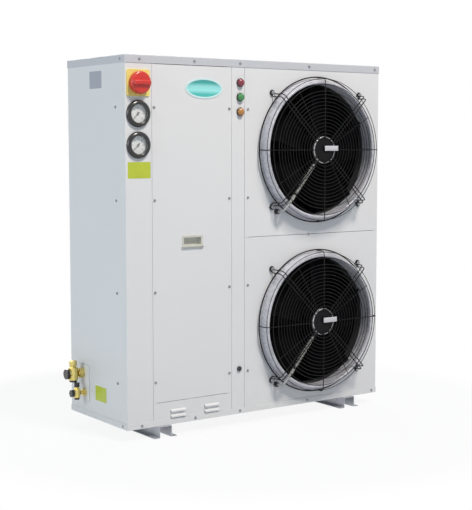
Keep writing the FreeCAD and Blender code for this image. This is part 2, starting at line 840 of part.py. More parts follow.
def fan_rotor(name):
    body = new_body(fan_centre(name), TO_FRONT)
    cup = "rotor_radius - rotor_wall"
    floor = f"{ROTOR_BACK} + rotor_end"
    shaft_end = f"{BORE_END} - 2 * slip"
    spin(body, draw(body, "XZ_Plane", [[
        ("0", ROTOR_BACK), ("rotor_radius", ROTOR_BACK), ("rotor_radius", ROTOR_FRONT),
        (cup, ROTOR_FRONT), (cup, floor), ("shaft_radius", floor),
        ("shaft_radius", shaft_end), ("0", shaft_end),
    ]]))
    tip = "throat - tip_gap"
    stations = [
        ("rotor_radius - blade_embed", "blade_root_chord", "blade_root_angle", "0"),
        ("(rotor_radius + throat) / 2", "blade_mid_chord", "blade_mid_angle", "blade_mid_sweep"),
        (tip, "blade_tip_chord", "blade_tip_angle", "blade_tip_sweep"),
    ]
    sections = [
        draw(body, "YZ_Plane", [blade_section(chord, angle, sweep)], offset=radius)
        for radius, chord, angle, sweep in stations
    ]
    loft = body.newObject("PartDesign::AdditiveLoft", "Blade")
    loft.Profile = sections[0]
    loft.Sections = sections[1:]
    loft.Ruled = True
    around(body, [loft], BLADE_COUNT)
    beyond = draw(body, "XY_Plane", circles=[("0", "0", tip), ("0", "0", "2 * throat")], offset="-throat")
    pocket(body, beyond, "2 * throat", reverse=True)
    node(body, f"{name}_fan_rotor")


# Bars and pipes that follow a bent route
def sweep(edges, radius, start, direction):
    """A round bar along a path, with mitred corners where its runs meet at an angle."""
    end_circle = Part.Wire(Part.Circle(start, direction, radius).toShape())
    return Part.Wire(edges).makePipeShell([end_circle], True, False, 1)


def elbow_pipe(route, radius):
    """A pipe of straight runs joined by elbows."""
    corners = [Vector(*point) for point in route]
    edges = [Part.LineSegment(a, b).toShape() for a, b in zip(corners, corners[1:])]
    return sweep(edges, radius, corners[0], corners[1] - corners[0])


def computed(shape, placement=FreeCAD.Placement()):
    piece = document.addObject("Part::Feature", "Computed")
    piece.Shape = shape
    piece.Placement = placement
    return piece


# Motor lead: held from the stator flange, over the nozzle, to a gland on the fan panel
def motor_lead(name):
    level, bend = number("lead_level"), number("lead_bend")
    reach = number("sqrt(gland_x ^ 2 + gland_z ^ 2)")
    start = Vector(number("stator_flange + hub_gland_length"), 0, level)
    bend_start = Vector(reach - bend, 0, level)
    bend_end = Vector(reach, 0, level - bend)
    bend_middle = Vector(reach - bend + bend * math.sin(math.pi / 4), 0,
                         level - bend + bend * math.cos(math.pi / 4))
    edges = [
        Part.LineSegment(start, bend_start).toShape(),
        Part.Arc(bend_start, bend_middle, bend_end).toShape(),
        Part.LineSegment(bend_end, Vector(reach, 0, number("gland_height"))).toShape(),
    ]
    turn = math.degrees(math.atan2(number("gland_z"), number("gland_x")))
    where = FreeCAD.Placement(
        Vector(*[number(text) for text in fan_centre(name)]),
        TO_FRONT * Rotation(Vector(0, 0, 1), turn))
    return computed(sweep(edges, number("lead_radius"), start, Vector(1, 0, 0)), where)


# Glands at both ends of the leads, and the clip that ties each lead to its guard
def lead_glands(name):
    x, y, z = fan_centre(name)
    nut = hexagon((f"{x} + gland_x", y, f"{z} + gland_z"), "gland_radius", "gland_height / 2", TO_FRONT)
    dome = rod((f"{x} + gland_x", f"{y} - gland_height / 2", f"{z} + gland_z"),
               "gland_radius * 0.75", "gland_height / 2", TO_FRONT)
    outward = Rotation(Vector(0, 0, 1), Vector(number("gland_x"), 0, number("gland_z")))
    cosine = "gland_x / sqrt(gland_x ^ 2 + gland_z ^ 2)"
    sine = "gland_z / sqrt(gland_x ^ 2 + gland_z ^ 2)"
    def along(radius):
        return (f"{x} + {radius} * {cosine}", f"{y} - lead_level", f"{z} + {radius} * {sine}")
    hub_gland = rod(along("stator_flange"), "hub_gland_radius", "hub_gland_length", outward)
    clip = cut(
        rod(along("clip_position"), "lead_radius + shaft_clearance + clip_wall", "clip_width", outward),
        [rod(along("clip_position"), "lead_radius + shaft_clearance", "clip_width", outward)])
    return [fuse([nut, dome]), hub_gland, clip]


def fans():
    node(group([nozzle(name) for name in FANS]), "fan_nozzles")
    wires = [make(name) for name in FANS for make in (guard_hoops, guard_spokes, guard_arms)]
    node(group(wires), "fan_guards")
    node(group([stator(name) for name in FANS]), "fan_stators")
    for name in FANS:
        fan_rotor(name)
    node(group([motor_lead(name) for name in FANS]), "motor_leads")
    node(group([piece for name in FANS for piece in lead_glands(name)]), "cable_glands")


# Main switch: a square plate on the corner strip, a body behind it and a rotary knob
def main_switch():
    at = (from_left("control_x"), FRONT, from_base("switch_z"))
    plate = new_body(at, TO_FRONT)
    half = "switch_plate / 2"
    pad(plate, draw(plate, "XY_Plane", [rectangle(f"-{half}", f"-{half}", half, half)],
                    circles=[("0", "0", "spindle_radius + shaft_clearance")]), "switch_plate_thickness")
    fillet(plate, "switch_plate_round", lambda e: len(e.Vertexes) == 2 and abs(
        e.Vertexes[0].Z - e.Vertexes[1].Z) > 1 and abs(e.Vertexes[0].X) > 30)
    node(plate, "main_switch_plate")
    side = "switch_body_side"
    housing = box((f"{at[0]} - {side} / 2", f"{FRONT} + sheet", f"{at[2]} - {side} / 2"),
                  (side, "switch_body_depth", side))
    drive = rod((at[0], f"{FRONT} + sheet + spindle_length", at[2]),
                "spindle_radius + shaft_clearance", "2 * spindle_length", TO_FRONT)
    neck = rod((at[0], f"{FRONT} + sheet", at[2]), f"{side} / 3", "sheet", TO_FRONT)
    switch_body = cut(fuse([housing, neck]), [drive])

    knob = new_body(at, TO_FRONT)
    seat = "switch_plate_thickness + knob_clearance"
    spin(knob, draw(knob, "XZ_Plane", [[
        ("0", "-spindle_length + 2 * slip"), ("spindle_radius", "-spindle_length + 2 * slip"),
        ("spindle_radius", seat), ("knob_radius", seat), ("knob_radius", f"{seat} + knob_base"),
        ("0", f"{seat} + knob_base"),
    ]]))
    wide, long = "knob_grip_width / 2", "knob_radius - 3"
    grip = rectangle(f"-({long})", f"-({wide})", long, wide)
    pad(knob, draw(knob, "XY_Plane", [grip], offset=f"{seat} + knob_base"), "knob_grip")
    node(knob, "main_switch_knob")
    return [switch_body]


# Pressure gauges: case, dial, needle on its pin, and glass
def gauges():
    cases, dials, glasses = [], [], []
    for name in ("upper", "lower"):
        at = (from_left("control_x"), FRONT, from_base(f"{name}_gauge_z"))
        case = new_body(at, TO_FRONT)
        spin(case, draw(case, "XZ_Plane", [[
            ("0", "-gauge_case_depth"), ("gauge_case", "-gauge_case_depth"), ("gauge_case", "0"),
            ("gauge_bezel", "0"), ("gauge_bezel", "gauge_proud"), ("gauge_bore", "gauge_proud"),
            ("gauge_bore", "gauge_floor"), ("0", "gauge_floor"),
        ]]))
        cases.append(case)
        disc = rod((at[0], f"{FRONT} - gauge_floor", at[2]), "gauge_bore - slip", "dial_thickness", TO_FRONT)
        pin_length = "needle_level + needle_thickness + 1 - gauge_floor - dial_thickness"
        pin = rod((at[0], f"{FRONT} - gauge_floor - dial_thickness", at[2]), "needle_pin", pin_length, TO_FRONT)
        dials.append(fuse([disc, pin]))
        glasses.append(rod((at[0], f"{FRONT} - glass_level", at[2]), "gauge_bore - shaft_clearance",
                           "glass_thickness", TO_FRONT))
        needle = new_body(at, TO_FRONT * Rotation(Vector(0, 0, 1), number("needle_zero_angle")))
        half = "needle_width / 2"
        pointer = [("-needle_tail", f"-({half})"), ("needle_length", f"-({half}) / 3"),
                   ("needle_length", f"({half}) / 3"), ("-needle_tail", half)]
        pad(needle, draw(needle, "XY_Plane", [pointer], offset="needle_level"), "needle_thickness")
        pad(needle, draw(needle, "XY_Plane", circles=[("0", "0", "needle_hub")], offset="needle_level"),
            "needle_thickness")
        pocket(needle, draw(needle, "XY_Plane", circles=[("0", "0", "needle_pin + shaft_clearance")]),
               "2 * needle_level + needle_thickness", reverse=True)
        node(needle, f"{name}_gauge_needle")
    node(group(dials), "gauge_dials")
    node(group(glasses), "gauge_glasses")
    return cases


# Pilot lights, and the blanking plug below them
def pilots():
    bezels = []
    for name, colour in (("upper", "red"), ("middle", "green"), ("lower", "amber")):
        at = (from_left("pilot_x"), FRONT, from_base(f"{name}_pilot_z"))
        rim = rod(at, "pilot_bezel", "pilot_bezel_height", TO_FRONT)
        barrel = rod((at[0], f"{FRONT} + pilot_depth", at[2]), "pilot_barrel", "pilot_depth", TO_FRONT)
        bezels.append(fuse([rim, barrel]))
        lens = taper((at[0], f"{FRONT} - pilot_bezel_height", at[2]), "pilot_lens", "pilot_lens * 0.75",
                     "pilot_lens_height", TO_FRONT)
        node(lens, f"pilot_lens_{colour}")
    return bezels


def blanking_plug():
    at = (from_left("plug_x"), FRONT, from_base("plug_z"))
    head = rod(at, "plug_radius", "plug_height", TO_FRONT)
    stem = rod((at[0], f"{FRONT} + plug_height", at[2]), "plug_radius / 2", "plug_height", TO_FRONT)
    return fuse([head, stem])


# Service valves: brass angle valves on a plate at the back of the left side
def service_valves():
    at_y, at_z = from_front("valve_plate_y"), from_base("valve_plate_z")
    plate = box((f"{LEFT} - valve_plate_thickness", f"{at_y} - valve_plate_width / 2",
                 f"{at_z} - valve_plate_height / 2"),
                ("valve_plate_thickness", "valve_plate_width", "valve_plate_height"))
    holes = []
    bodies, caps = [], [blanking_plug()]
    for name in ("suction", "liquid"):
        y, z = from_front(f"{name}_valve_y"), from_base(f"{name}_valve_z")
        pipe, block = f"{name}_pipe", f"{name}_body"
        holes.append(rod((f"{LEFT} + sheet", y, z), f"{pipe} + pipe_hole_gap", "4 * valve_plate_thickness",
                         TO_LEFT))
        stub = rod((f"{LEFT} + fold", y, z), pipe, "fold + valve_reach", TO_LEFT)
        nut = hexagon((f"{LEFT} - valve_plate_thickness", y, z), f"{block} * 1.1", f"{block}", TO_LEFT)
        core = rod((f"{LEFT} - valve_reach - {block}", y, f"{z} - 1.3 * {block}"), block, f"2.6 * {block}")
        neck = hexagon((f"{LEFT} - valve_reach - {block}", y, z), f"{block} * 0.9", f"1.1 * {block}", TO_LEFT)
        stem = hexagon((f"{LEFT} - valve_reach - {block}", y, f"{z} + 1.3 * {block}"),
                       f"{block} * 0.8", f"{block} * 0.5")
        bodies.append(fuse([stub, nut, core, neck, stem]))
        caps.append(rod((f"{LEFT} - valve_reach - 2.1 * {block}", y, z), f"{block} * 1.05",
                        "valve_cap_length / 2", TO_LEFT))
        caps.append(rod((f"{LEFT} - valve_reach - {block}", y, f"{z} + 1.8 * {block}"),
                        f"{block} * 0.8", "valve_cap_length * 0.7"))
        caps.append(rod((f"{LEFT} - valve_reach - {block}", y, f"{z} - 1.3 * {block} - valve_cap_length / 3"),
                        f"{block} * 0.8", "valve_cap_length / 3"))
    node(cut(plate, holes), "valve_plate")
    node(group(bodies), "service_valves")
    node(group(caps), "black_caps")


# Scroll compressor on a foot plate with four rubber grommets
def compressor():
    x, y = from_left("compressor_x"), from_front("compressor_y")
    seat = f"{FLOOR} + grommet_height"
    shell = new_body((x, y, f"{seat} + foot_plate_sheet"))
    wide = "compressor_radius"
    spin(shell, draw(shell, "XZ_Plane", [[
        ("0", "0"), (wide, "0"), (wide, "compressor_height - compressor_dome"),
        (f"{wide} * 0.85", "compressor_height - compressor_dome / 3"),
        (f"{wide} * 0.45", "compressor_height"), ("0", "compressor_height"),
    ]]))
    half = "foot_plate_side / 2"
    plate = box((f"{x} - {half}", f"{y} - {half}", seat),
                ("foot_plate_side", "foot_plate_side", "foot_plate_sheet"))
    node(group([shell, plate]), "compressor")
    grommets = [
        rod((f"{x} + {i} * grommet_spacing / 2", f"{y} + {j} * grommet_spacing / 2", FLOOR),
            "grommet_radius", "grommet_height")
        for i in (-1, 1) for j in (-1, 1)
    ]
    node(group(grommets), "compressor_grommets")


# Liquid receiver on a skirt, and the filter drier above it
def vessels():
    x, y = from_left("receiver_x"), from_front("receiver_y")
    tank = new_body((x, y, FLOOR))
    wide = "receiver_radius"
    spin(tank, draw(tank, "XZ_Plane", [[
        ("0", "receiver_foot"), (f"{wide} * 0.6", "receiver_foot - receiver_dome / 2"),
        (f"{wide} * 0.6", "0"), (f"{wide} * 0.9", "0"), (f"{wide} * 0.9", "receiver_foot"),
        (wide, "receiver_foot + receiver_dome"), (wide, "receiver_height - receiver_dome"),
        (f"{wide} * 0.6", "receiver_height"), ("0", "receiver_height"),
    ]]))
    drier = new_body((from_left("drier_x"), from_front("drier_y"), from_base("drier_z")))
    spin(drier, draw(drier, "XZ_Plane", [[
        ("0", "0"), ("drier_neck / 2", "0"), ("drier_radius", "drier_neck"),
        ("drier_radius", "drier_length - drier_neck"), ("drier_neck / 2", "drier_length"),
        ("0", "drier_length"),
    ]]))
    node(group([tank, drier]), "receiver_and_drier")


# Copper lines between the service valves, the compressor, the coil, the receiver and the drier
def copper_lines():
    def at(x, y, z):
        return (number(from_left(x)), number(from_front(y)), number(from_base(z)))
    shell_top = "tray_floor + grommet_height + foot_plate_sheet + compressor_height"
    end_plate_x = "strip_width + door_width + pilot_strip_width + coil_side_gap - end_plate"
    coil_y = "cabinet_depth - coil_back_gap - coil_depth / 2"
    drier_top = "drier_z + drier_length"
    suction = [
        at("fold", "suction_valve_y", "suction_valve_z"),
        at("suction_drop", "suction_valve_y", "suction_valve_z"),
        at("suction_drop", "suction_valve_y", "suction_level"),
        at("suction_drop", "compressor_y", "suction_level"),
        at("compressor_x - compressor_radius", "compressor_y", "suction_level"),
    ]
    discharge = [
        at("compressor_x", "compressor_y", shell_top),
        at("compressor_x", "compressor_y", "discharge_level"),
        at("compressor_x", coil_y, "discharge_level"),
        at(end_plate_x, coil_y, "discharge_level"),
    ]
    condensate = [
        at(end_plate_x, coil_y, "condensate_level"),
        at("condensate_riser", coil_y, "condensate_level"),
        at("condensate_riser", "receiver_y", "receiver_inlet"),
        at("receiver_x + receiver_radius", "receiver_y", "receiver_inlet"),
    ]
    riser = [at("receiver_x", "receiver_y", "tray_floor + receiver_height"),
             at("drier_x", "drier_y", "drier_z")]
    liquid = [
        at("drier_x", "drier_y", drier_top),
        at("drier_x", "drier_y", "liquid_level"),
        at("liquid_drop", "liquid_valve_y", "liquid_level"),
        at("liquid_drop", "liquid_valve_y", "liquid_valve_z"),
        at("fold", "liquid_valve_y", "liquid_valve_z"),
    ]
    line = number("line_radius")
    node(group([
        computed(elbow_pipe(suction, number("suction_pipe"))),
        computed(elbow_pipe(discharge, number("discharge_radius"))),
        computed(elbow_pipe(condensate, line)),
        computed(elbow_pipe(riser, line)),
        computed(elbow_pipe(liquid, line)),
    ]), "copper_lines")


# Electrical box behind the top of the service panel, with its switchgear
CONTACTORS = 3
BREAKERS = 4


def electrical_box():
    x, z = f"({FAN_EDGE} - electrical_box_width)", from_base("electrical_box_z")
    y = from_front("electrical_box_front")
    wide, tall, deep = "electrical_box_width", "electrical_box_height", "electrical_box_depth"
    shell = cut(
        box((x, y, z), (wide, deep, tall)),
        [box((f"{x} + sheet", f"{y} - sheet", f"{z} + sheet"),
             (f"{wide} - 2 * sheet", deep, f"{tall} - 2 * sheet"))])
    node(shell, "electrical_box")
    back = f"{y} + {deep} - sheet"
    gear = []
    for i in range(CONTACTORS):
        left = f"{x} + gear_margin + {i} * (contactor_width + contactor_gap)"
        low = f"{z} + {tall} - contactor_height - gear_end_margin"
        gear.append(fuse([
            box((left, f"{back} - contactor_depth", low), ("contactor_width", "contactor_depth", "contactor_height")),
            box((f"{left} + contactor_width / 4", f"{back} - contactor_depth - contactor_step",
                 f"{low} + contactor_height / 3"),
                ("contactor_width / 2", "contactor_step", "contactor_height / 3")),
        ]))
    for i in range(BREAKERS):
        left = f"{x} + gear_margin + {i} * (breaker_width + breaker_gap)"
        gear.append(box((left, f"{back} - contactor_depth", f"{z} + gear_end_margin"),
                        ("breaker_width", "contactor_depth", "contactor_height")))
    node(group(gear), "switchgear")


# Screws and bolts: hexagon heads only, grouped by what they hold, at the levels of the panels' fixings
def front_head(x, z):
    return hexagon((x, FRONT, z), "screw_head", "screw_rise", TO_FRONT)


LIP_SCREWS = ("lip_screw_first", "lip_screw_second", "lip_screw_third", "lip_screw_fourth",
              "cabinet_width - lip_screw_end")
FACE_SCREWS = ("face_screw_low", "face_screw_lower_middle", "face_screw_upper_middle", "face_screw_high")


def fasteners():
    heads = []
    lip = f"{FRONT} - slip - sheet"
    for x in LIP_SCREWS:
        for level in ("base_lip / 2", "cabinet_height - lid_skirt / 2"):
            heads.append(hexagon((from_left(x), lip, from_base(level)), "screw_head", "screw_rise", TO_FRONT))
    for level in FACE_SCREWS:
        heads.append(front_head(f"{FAN_EDGE} + fan_panel_screw_inset", from_base(level)))
        heads.append(hexagon((LEFT, from_front("side_screw_y"), from_base(level)),
                             "screw_head", "screw_rise", TO_LEFT))
    node(group(heads), "cabinet_screws")
    bolts = []
    for name in ("upper", "lower"):
        for across in (-1, 1):
            for up in (-1, 1):
                bolts.append(hexagon(
                    (f"{from_left('fan_x')} + {across} * eyelet_circle * sqrt(0.5)",
                     f"{FRONT} - slip - wire",
                     f"{from_base(name + '_fan_z')} + {up} * eyelet_circle * sqrt(0.5)"),
                    "bolt_head", "bolt_rise", TO_FRONT))
    node(group(bolts), "guard_bolts")
    door = []
    for x in (f"{STRIP_EDGE} + seam + door_screw_inset", f"{DOOR_EDGE} - seam - door_screw_inset"):
        for level in FACE_SCREWS:
            door.append(front_head(x, from_base(level)))
    node(group(door), "door_screws")


base_tray()
foot_rail(-1, "foot_rail_left")
foot_rail(1, "foot_rail_right")
left_panel()
right_panel()
rear_panel()
lid()
service_panel()
grip_cup()
kick_panel()
pilot_strip()
fan_panel("upper", from_base("fan_seam_height + seam / 2"), UNDER_LID)
fan_panel("lower", FLOOR, from_base("fan_seam_height - seam / 2"))
partition()
condenser_coil()
coil_guard()
fans()
node(group(main_switch() + gauges() + pilots()), "control_housings")
service_valves()
compressor()
vessels()
copper_lines()
electrical_box()
fasteners()

document.recompute()
for piece in document.Objects:
    if "Invalid" in piece.State or "Error" in piece.State:
        raise RuntimeError(f"{piece.Label} failed: {piece.State}")
for piece in NODES:
    if piece.Shape.isNull() or not piece.Shape.isValid():
        raise RuntimeError(f"{piece.Label} has no valid shape")

os.makedirs("parts", exist_ok=True)
for piece in NODES:
    piece.Shape.exportStep(f"parts/{piece.Label}.step")
print(len(NODES), "sub-parts written")
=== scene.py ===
# %% [markdown]
# # A two-fan refrigeration condensing unit
#
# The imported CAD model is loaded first, as a fixed frame. Each sub-part is then dressed or rebuilt
# on top of it, in the same metres, so nothing has to be fitted by eye.

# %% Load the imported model
import json
import math

import bmesh
import bpy
from mathutils import Matrix, Vector


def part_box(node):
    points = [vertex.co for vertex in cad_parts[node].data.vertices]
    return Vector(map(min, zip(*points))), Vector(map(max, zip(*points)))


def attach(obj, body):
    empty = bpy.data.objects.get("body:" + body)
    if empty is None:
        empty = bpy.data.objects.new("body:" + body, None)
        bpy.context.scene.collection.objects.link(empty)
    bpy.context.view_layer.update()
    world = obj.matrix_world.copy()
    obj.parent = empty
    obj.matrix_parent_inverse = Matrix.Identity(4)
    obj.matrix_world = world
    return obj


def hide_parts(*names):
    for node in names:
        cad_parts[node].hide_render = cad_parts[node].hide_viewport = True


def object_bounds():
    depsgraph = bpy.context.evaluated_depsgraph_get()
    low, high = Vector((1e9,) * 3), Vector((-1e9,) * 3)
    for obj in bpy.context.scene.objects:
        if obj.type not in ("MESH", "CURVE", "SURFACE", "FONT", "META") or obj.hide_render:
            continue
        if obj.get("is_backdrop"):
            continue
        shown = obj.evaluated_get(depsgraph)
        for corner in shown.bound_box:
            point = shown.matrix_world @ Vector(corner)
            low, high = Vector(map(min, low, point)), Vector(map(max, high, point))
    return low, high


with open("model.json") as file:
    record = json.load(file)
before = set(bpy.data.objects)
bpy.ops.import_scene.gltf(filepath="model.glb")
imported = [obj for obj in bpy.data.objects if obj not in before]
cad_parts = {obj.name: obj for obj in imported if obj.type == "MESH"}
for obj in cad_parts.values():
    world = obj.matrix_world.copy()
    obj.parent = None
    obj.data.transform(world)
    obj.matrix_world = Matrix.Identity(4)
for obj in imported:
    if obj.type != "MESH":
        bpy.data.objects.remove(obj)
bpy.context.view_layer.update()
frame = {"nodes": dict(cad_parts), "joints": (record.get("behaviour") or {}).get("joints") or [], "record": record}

scene = bpy.context.scene
MM = 0.001
BODY_OF = {node: body for body, nodes in frame["record"]["behaviour"]["bodies"].items() for node in nodes}
SLOT_OF = {part["node"]: part["material_slot"] for part in frame["record"]["subparts"]}

# %% [markdown]
# ## Writing materials as sums
#
# A finish is a small network of nodes. Written as Python sums it stays readable, so a wrapper holds
# one socket of the network, and adding or multiplying two of them adds the Math node that does it.


# %% A socket that can be added and multiplied
class Shade:
    """One output of a material's node network."""

    def __init__(self, tree, link):
        self.tree, self.link = tree, link

    def node(self, kind, inputs, out=0, **settings):
        """Adds any other node: its settings first, then the values or links of its sockets."""
        made = self.tree.nodes.new(kind)
        for name, value in settings.items():
            setattr(made, name, value)
        for socket, value in inputs.items():
            if isinstance(value, Shade):
                self.tree.links.new(value.link, made.inputs[socket])
            else:
                made.inputs[socket].default_value = value
        return Shade(self.tree, made.outputs[out])

    def maths(self, operation, *values, clamp=False):
        """Adds a Math node; with clamp, its result stays between 0 and 1."""
        return self.node("ShaderNodeMath", dict(enumerate(values)), operation=operation, use_clamp=clamp)

    def __add__(self, other):
        return self.maths("ADD", self, other)

    __radd__ = __add__

    def __mul__(self, other):
        return self.maths("MULTIPLY", self, other)

    __rmul__ = __mul__

    def __sub__(self, other):
        return self.maths("SUBTRACT", self, other)

    def __rsub__(self, other):
        return self.maths("SUBTRACT", other, self)

    def clipped(self):
        return self.maths("ADD", self, 0.0, clamp=True)

    def noise(self, size, detail=2.0):
        """Soft grain whose features are about `size` metres across, from 0 to 1."""
        return self.node("ShaderNodeTexNoise", {"Vector": self, "Scale": 1 / size, "Detail": detail})

    def mixed(self, dark, light):
        """A colour between two others, by this value."""
        sockets = {0: self, 6: colour4(dark), 7: colour4(light)}
        return self.node("ShaderNodeMix", sockets, out=2, data_type="RGBA")

    def height(self):
        """The Z of a position."""
        return self.node("ShaderNodeSeparateXYZ", {0: self}, out=2)


def colour4(value):
    """A colour with its opacity, or a link as it is."""
    return value if isinstance(value, Shade) else (*value, 1)


def scaled(colour, factor):
    """A paler or darker colour, at most 1."""
    return tuple(min(part * factor, 1) for part in colour)


print("shader sums ready")

# %% [markdown]
# ## One start for every finish
#
# All the finishes share a Principled shader and Object coordinates. Object coordinates keep the grain
# at its real size, in metres, and it stays on the piece when the piece moves.


# %% Start and close a finish
def new_finish(name, rough, metal=0.0, coat=0.0, specular=0.5):
    """An empty finish: the material, its shader and the position on the object."""
    material = bpy.data.materials.new(name)
    material.use_nodes = True
    shader = material.node_tree.nodes["Principled BSDF"]
    shader.inputs["Roughness"].default_value = rough
    shader.inputs["Metallic"].default_value = metal
    shader.inputs["Specular IOR Level"].default_value = specular
    shader.inputs["Coat Weight"].default_value = coat
    shader.inputs["Coat Roughness"].default_value = 0.08
    coordinates = material.node_tree.nodes.new("ShaderNodeTexCoord")
    return material, shader, Shade(material.node_tree, coordinates.outputs["Object"])


def connect(shader, **links):
    """Feeds values into the shader: colour, rough or bump (a height, its depth in metres)."""
    sockets = {"colour": "Base Color", "rough": "Roughness", "bump": "Normal", "metal": "Metallic"}
    for name, value in links.items():
        if name == "bump":
            grain, depth = value
            value = grain.node("ShaderNodeBump", {"Height": grain, "Distance": depth, "Strength": 1.0})
        value.tree.links.new(value.link, shader.inputs[sockets[name]])


print("finish helpers ready")

# %% [markdown]
# ## Powder coat, galvanised sheet and the other finishes
#
# The cabinet is powder coated: pale cool grey, with a faint orange peel and a little dust near the
# floor. The feet, the nozzles and the partition are galvanised, and zinc freezes in flat crystals,
# so a Voronoi pattern gives each crystal its own brightness and shine.


# %% Sheet metal finishes
def powder_coat(name, colour, rough=0.4, peel=0.00006, dust=0.25):
    """Baked powder paint: a faint orange peel, and dust on its lowest 0.3 m."""
    material, shader, place = new_finish(name, rough)
    tone = place.noise(0.4, 3)
    floor_dust = (1 - place.height() * 3.2).clipped() * place.noise(0.05, 4) * dust
    coat = tone.mixed(scaled(colour, 0.975), scaled(colour, 1.015))
    connect(shader, colour=floor_dust.mixed(coat, (0.56, 0.54, 0.50)),
            rough=tone * 0.12 + (rough - 0.06), bump=(place.noise(0.0022), peel))
    return material


def galvanised(name, colour, crystal=0.012, rough=0.3, metal=0.6):
    """Hot-dipped zinc with flat crystals about `crystal` metres across."""
    material, shader, place = new_finish(name, rough, metal=metal)
    cells = place.node("ShaderNodeTexVoronoi", {"Vector": place, "Scale": 1 / crystal}, out=1)
    flake = cells.node("ShaderNodeSeparateColor", {0: cells})
    film = place.noise(0.09, 4)
    connect(shader, colour=(flake * 0.6 + film * 0.4).mixed(scaled(colour, 0.80), scaled(colour, 1.22)),
            rough=flake * 0.14 + film * 0.10 + (rough - 0.08), bump=(flake, 0.00002))
    return material


def cast_metal(name, colour, rough, grain=0.0012, depth=0.00005, tarnish=0.72):
    """Cast, drawn or machined bare metal, which tarnishes in soft patches."""
    material, shader, place = new_finish(name, rough, metal=1.0)
    patch = place.noise(0.03, 5)
    connect(shader, colour=patch.mixed(scaled(colour, tarnish), scaled(colour, 1.12)),
            rough=patch * 0.25 + (rough - 0.12), bump=(place.noise(grain, 3), depth))
    return material


def gloss_paint(name, colour, rough=0.35, depth=0.00005, specular=0.4):
    """Thick dark paint on wires, blades and vessels, with dust lying in its pores."""
    material, shader, place = new_finish(name, rough, specular=specular)
    grain, cloud = place.noise(0.0016, 3), place.noise(0.06, 4)
    dust = (cloud * grain * 1.4).clipped()
    connect(shader, colour=dust.mixed(scaled(colour, 0.8), scaled(colour, 2.1)),
            rough=cloud * 0.2 + (rough - 0.1), bump=(grain, depth))
    return material


def moulded(name, colour, rough=0.5, depth=0.00003, coat=0.0):
    """Moulded plastic or rubber: an even colour, spark-eroded grain and a little handling wear."""
    material, shader, place = new_finish(name, rough, coat=coat)
    grain, wear = place.noise(0.0007, 2), place.noise(0.02, 4)
    connect(shader, colour=wear.mixed(scaled(colour, 0.88), scaled(colour, 1.1)),
            rough=wear * 0.16 + (rough - 0.08), bump=(grain, depth))
    return material


print("finish families ready")

# %% [markdown]
# ## The dial glass
#
# A gauge glass is a flat clear disc. A see-through shader is mixed with a glossy one, which grows
# stronger as the view slants. Layer Weight's Facing is the same from both sides of a face. Fresnel
# isn't: on the way out of the glass it would turn the key light back and leave the dial dark.


# %% Clear glass
def clear_glass(name):
    """A see-through face with a thin gloss, smeared a little."""
    material, shader, place = new_finish(name, 0.04)
    tree = material.node_tree
    smear = place.noise(0.012, 3)
    connect(shader, rough=smear * 0.05 + 0.02, colour=smear.mixed((0.90, 0.95, 0.95), (0.96, 0.98, 0.98)))
    through = tree.nodes.new("ShaderNodeBsdfTransparent")
    both = tree.nodes.new("ShaderNodeMixShader")
    slant = place.node("ShaderNodeLayerWeight", {"Blend": 0.5}, out=1)
    tree.links.new((slant * slant * slant * 0.7 + 0.04).clipped().link, both.inputs[0])
    tree.links.new(through.outputs[0], both.inputs[1])
    tree.links.new(shader.outputs[0], both.inputs[2])
    tree.links.new(both.outputs[0], tree.nodes["Material Output"].inputs["Surface"])
    return material


# %% All the finishes, by the record's slot names
FINISHES = {
    "cabinet_white": powder_coat("cabinet_white", (0.735, 0.740, 0.768)),
    # galvanised is painted darker than bare zinc: a painted shade for the feet, which lie in shadow under the tray
    "galvanised": galvanised("galvanised", (0.46, 0.48, 0.52), rough=0.36),
    "guard_black": gloss_paint("guard_black", (0.005, 0.005, 0.006), 0.26, specular=0.2),
    "rotor_black": gloss_paint("rotor_black", (0.0028, 0.0028, 0.0034), 0.6, specular=0.02),
    "die_cast": cast_metal("die_cast", (0.55, 0.56, 0.58), 0.36, tarnish=0.6),
    "black_plastic": moulded("black_plastic", (0.006, 0.006, 0.008), 0.24, coat=0.3),
    "grey_plastic": moulded("grey_plastic", (0.36, 0.37, 0.38), 0.5),
    "yellow_plate": moulded("yellow_plate", (0.84, 0.70, 0.20), 0.4),
    "red_knob": moulded("red_knob", (0.60, 0.020, 0.012), 0.30, coat=0.3),
    "dial_white": moulded("dial_white", (0.86, 0.87, 0.88), 0.5),
    "needle_black": gloss_paint("needle_black", (0.012, 0.012, 0.012), 0.4),
    "clear_glass": clear_glass("clear_glass"),
    "lens_red": moulded("lens_red", (0.22, 0.008, 0.030), 0.16, coat=0.5),
    "lens_green": moulded("lens_green", (0.030, 0.24, 0.060), 0.16, coat=0.5),
    "lens_amber": moulded("lens_amber", (0.44, 0.185, 0.035), 0.16, coat=0.5),
    "brass": cast_metal("brass", (0.80, 0.66, 0.24), 0.28, tarnish=0.62),
    "copper": cast_metal("copper", (0.80, 0.42, 0.28), 0.30, tarnish=0.6),
    "grip_beige": moulded("grip_beige", (0.60, 0.60, 0.55), 0.55),
    "fin_aluminium": cast_metal("fin_aluminium", (0.46, 0.47, 0.49), 0.42, grain=0.004, tarnish=0.85),
    "compressor_black": gloss_paint("compressor_black", (0.010, 0.010, 0.011), 0.38, depth=0.00012),
    "rubber": moulded("rubber", (0.022, 0.022, 0.022), 0.75),
    "zinc": cast_metal("zinc", (0.34, 0.35, 0.37), 0.36),
}
for node, piece in frame["nodes"].items():
    for i in range(len(piece.material_slots)):
        piece.material_slots[i].material = FINISHES[SLOT_OF[node]]
print(len(FINISHES), "finishes on", len(frame["nodes"]), "nodes")

# %% [markdown]
# ## Working as by hand
#
# An operator acts on everything that is selected, so each step starts from an empty selection. A piece
# that is done gets its place applied into its mesh, its finish, its body and its smooth shading.


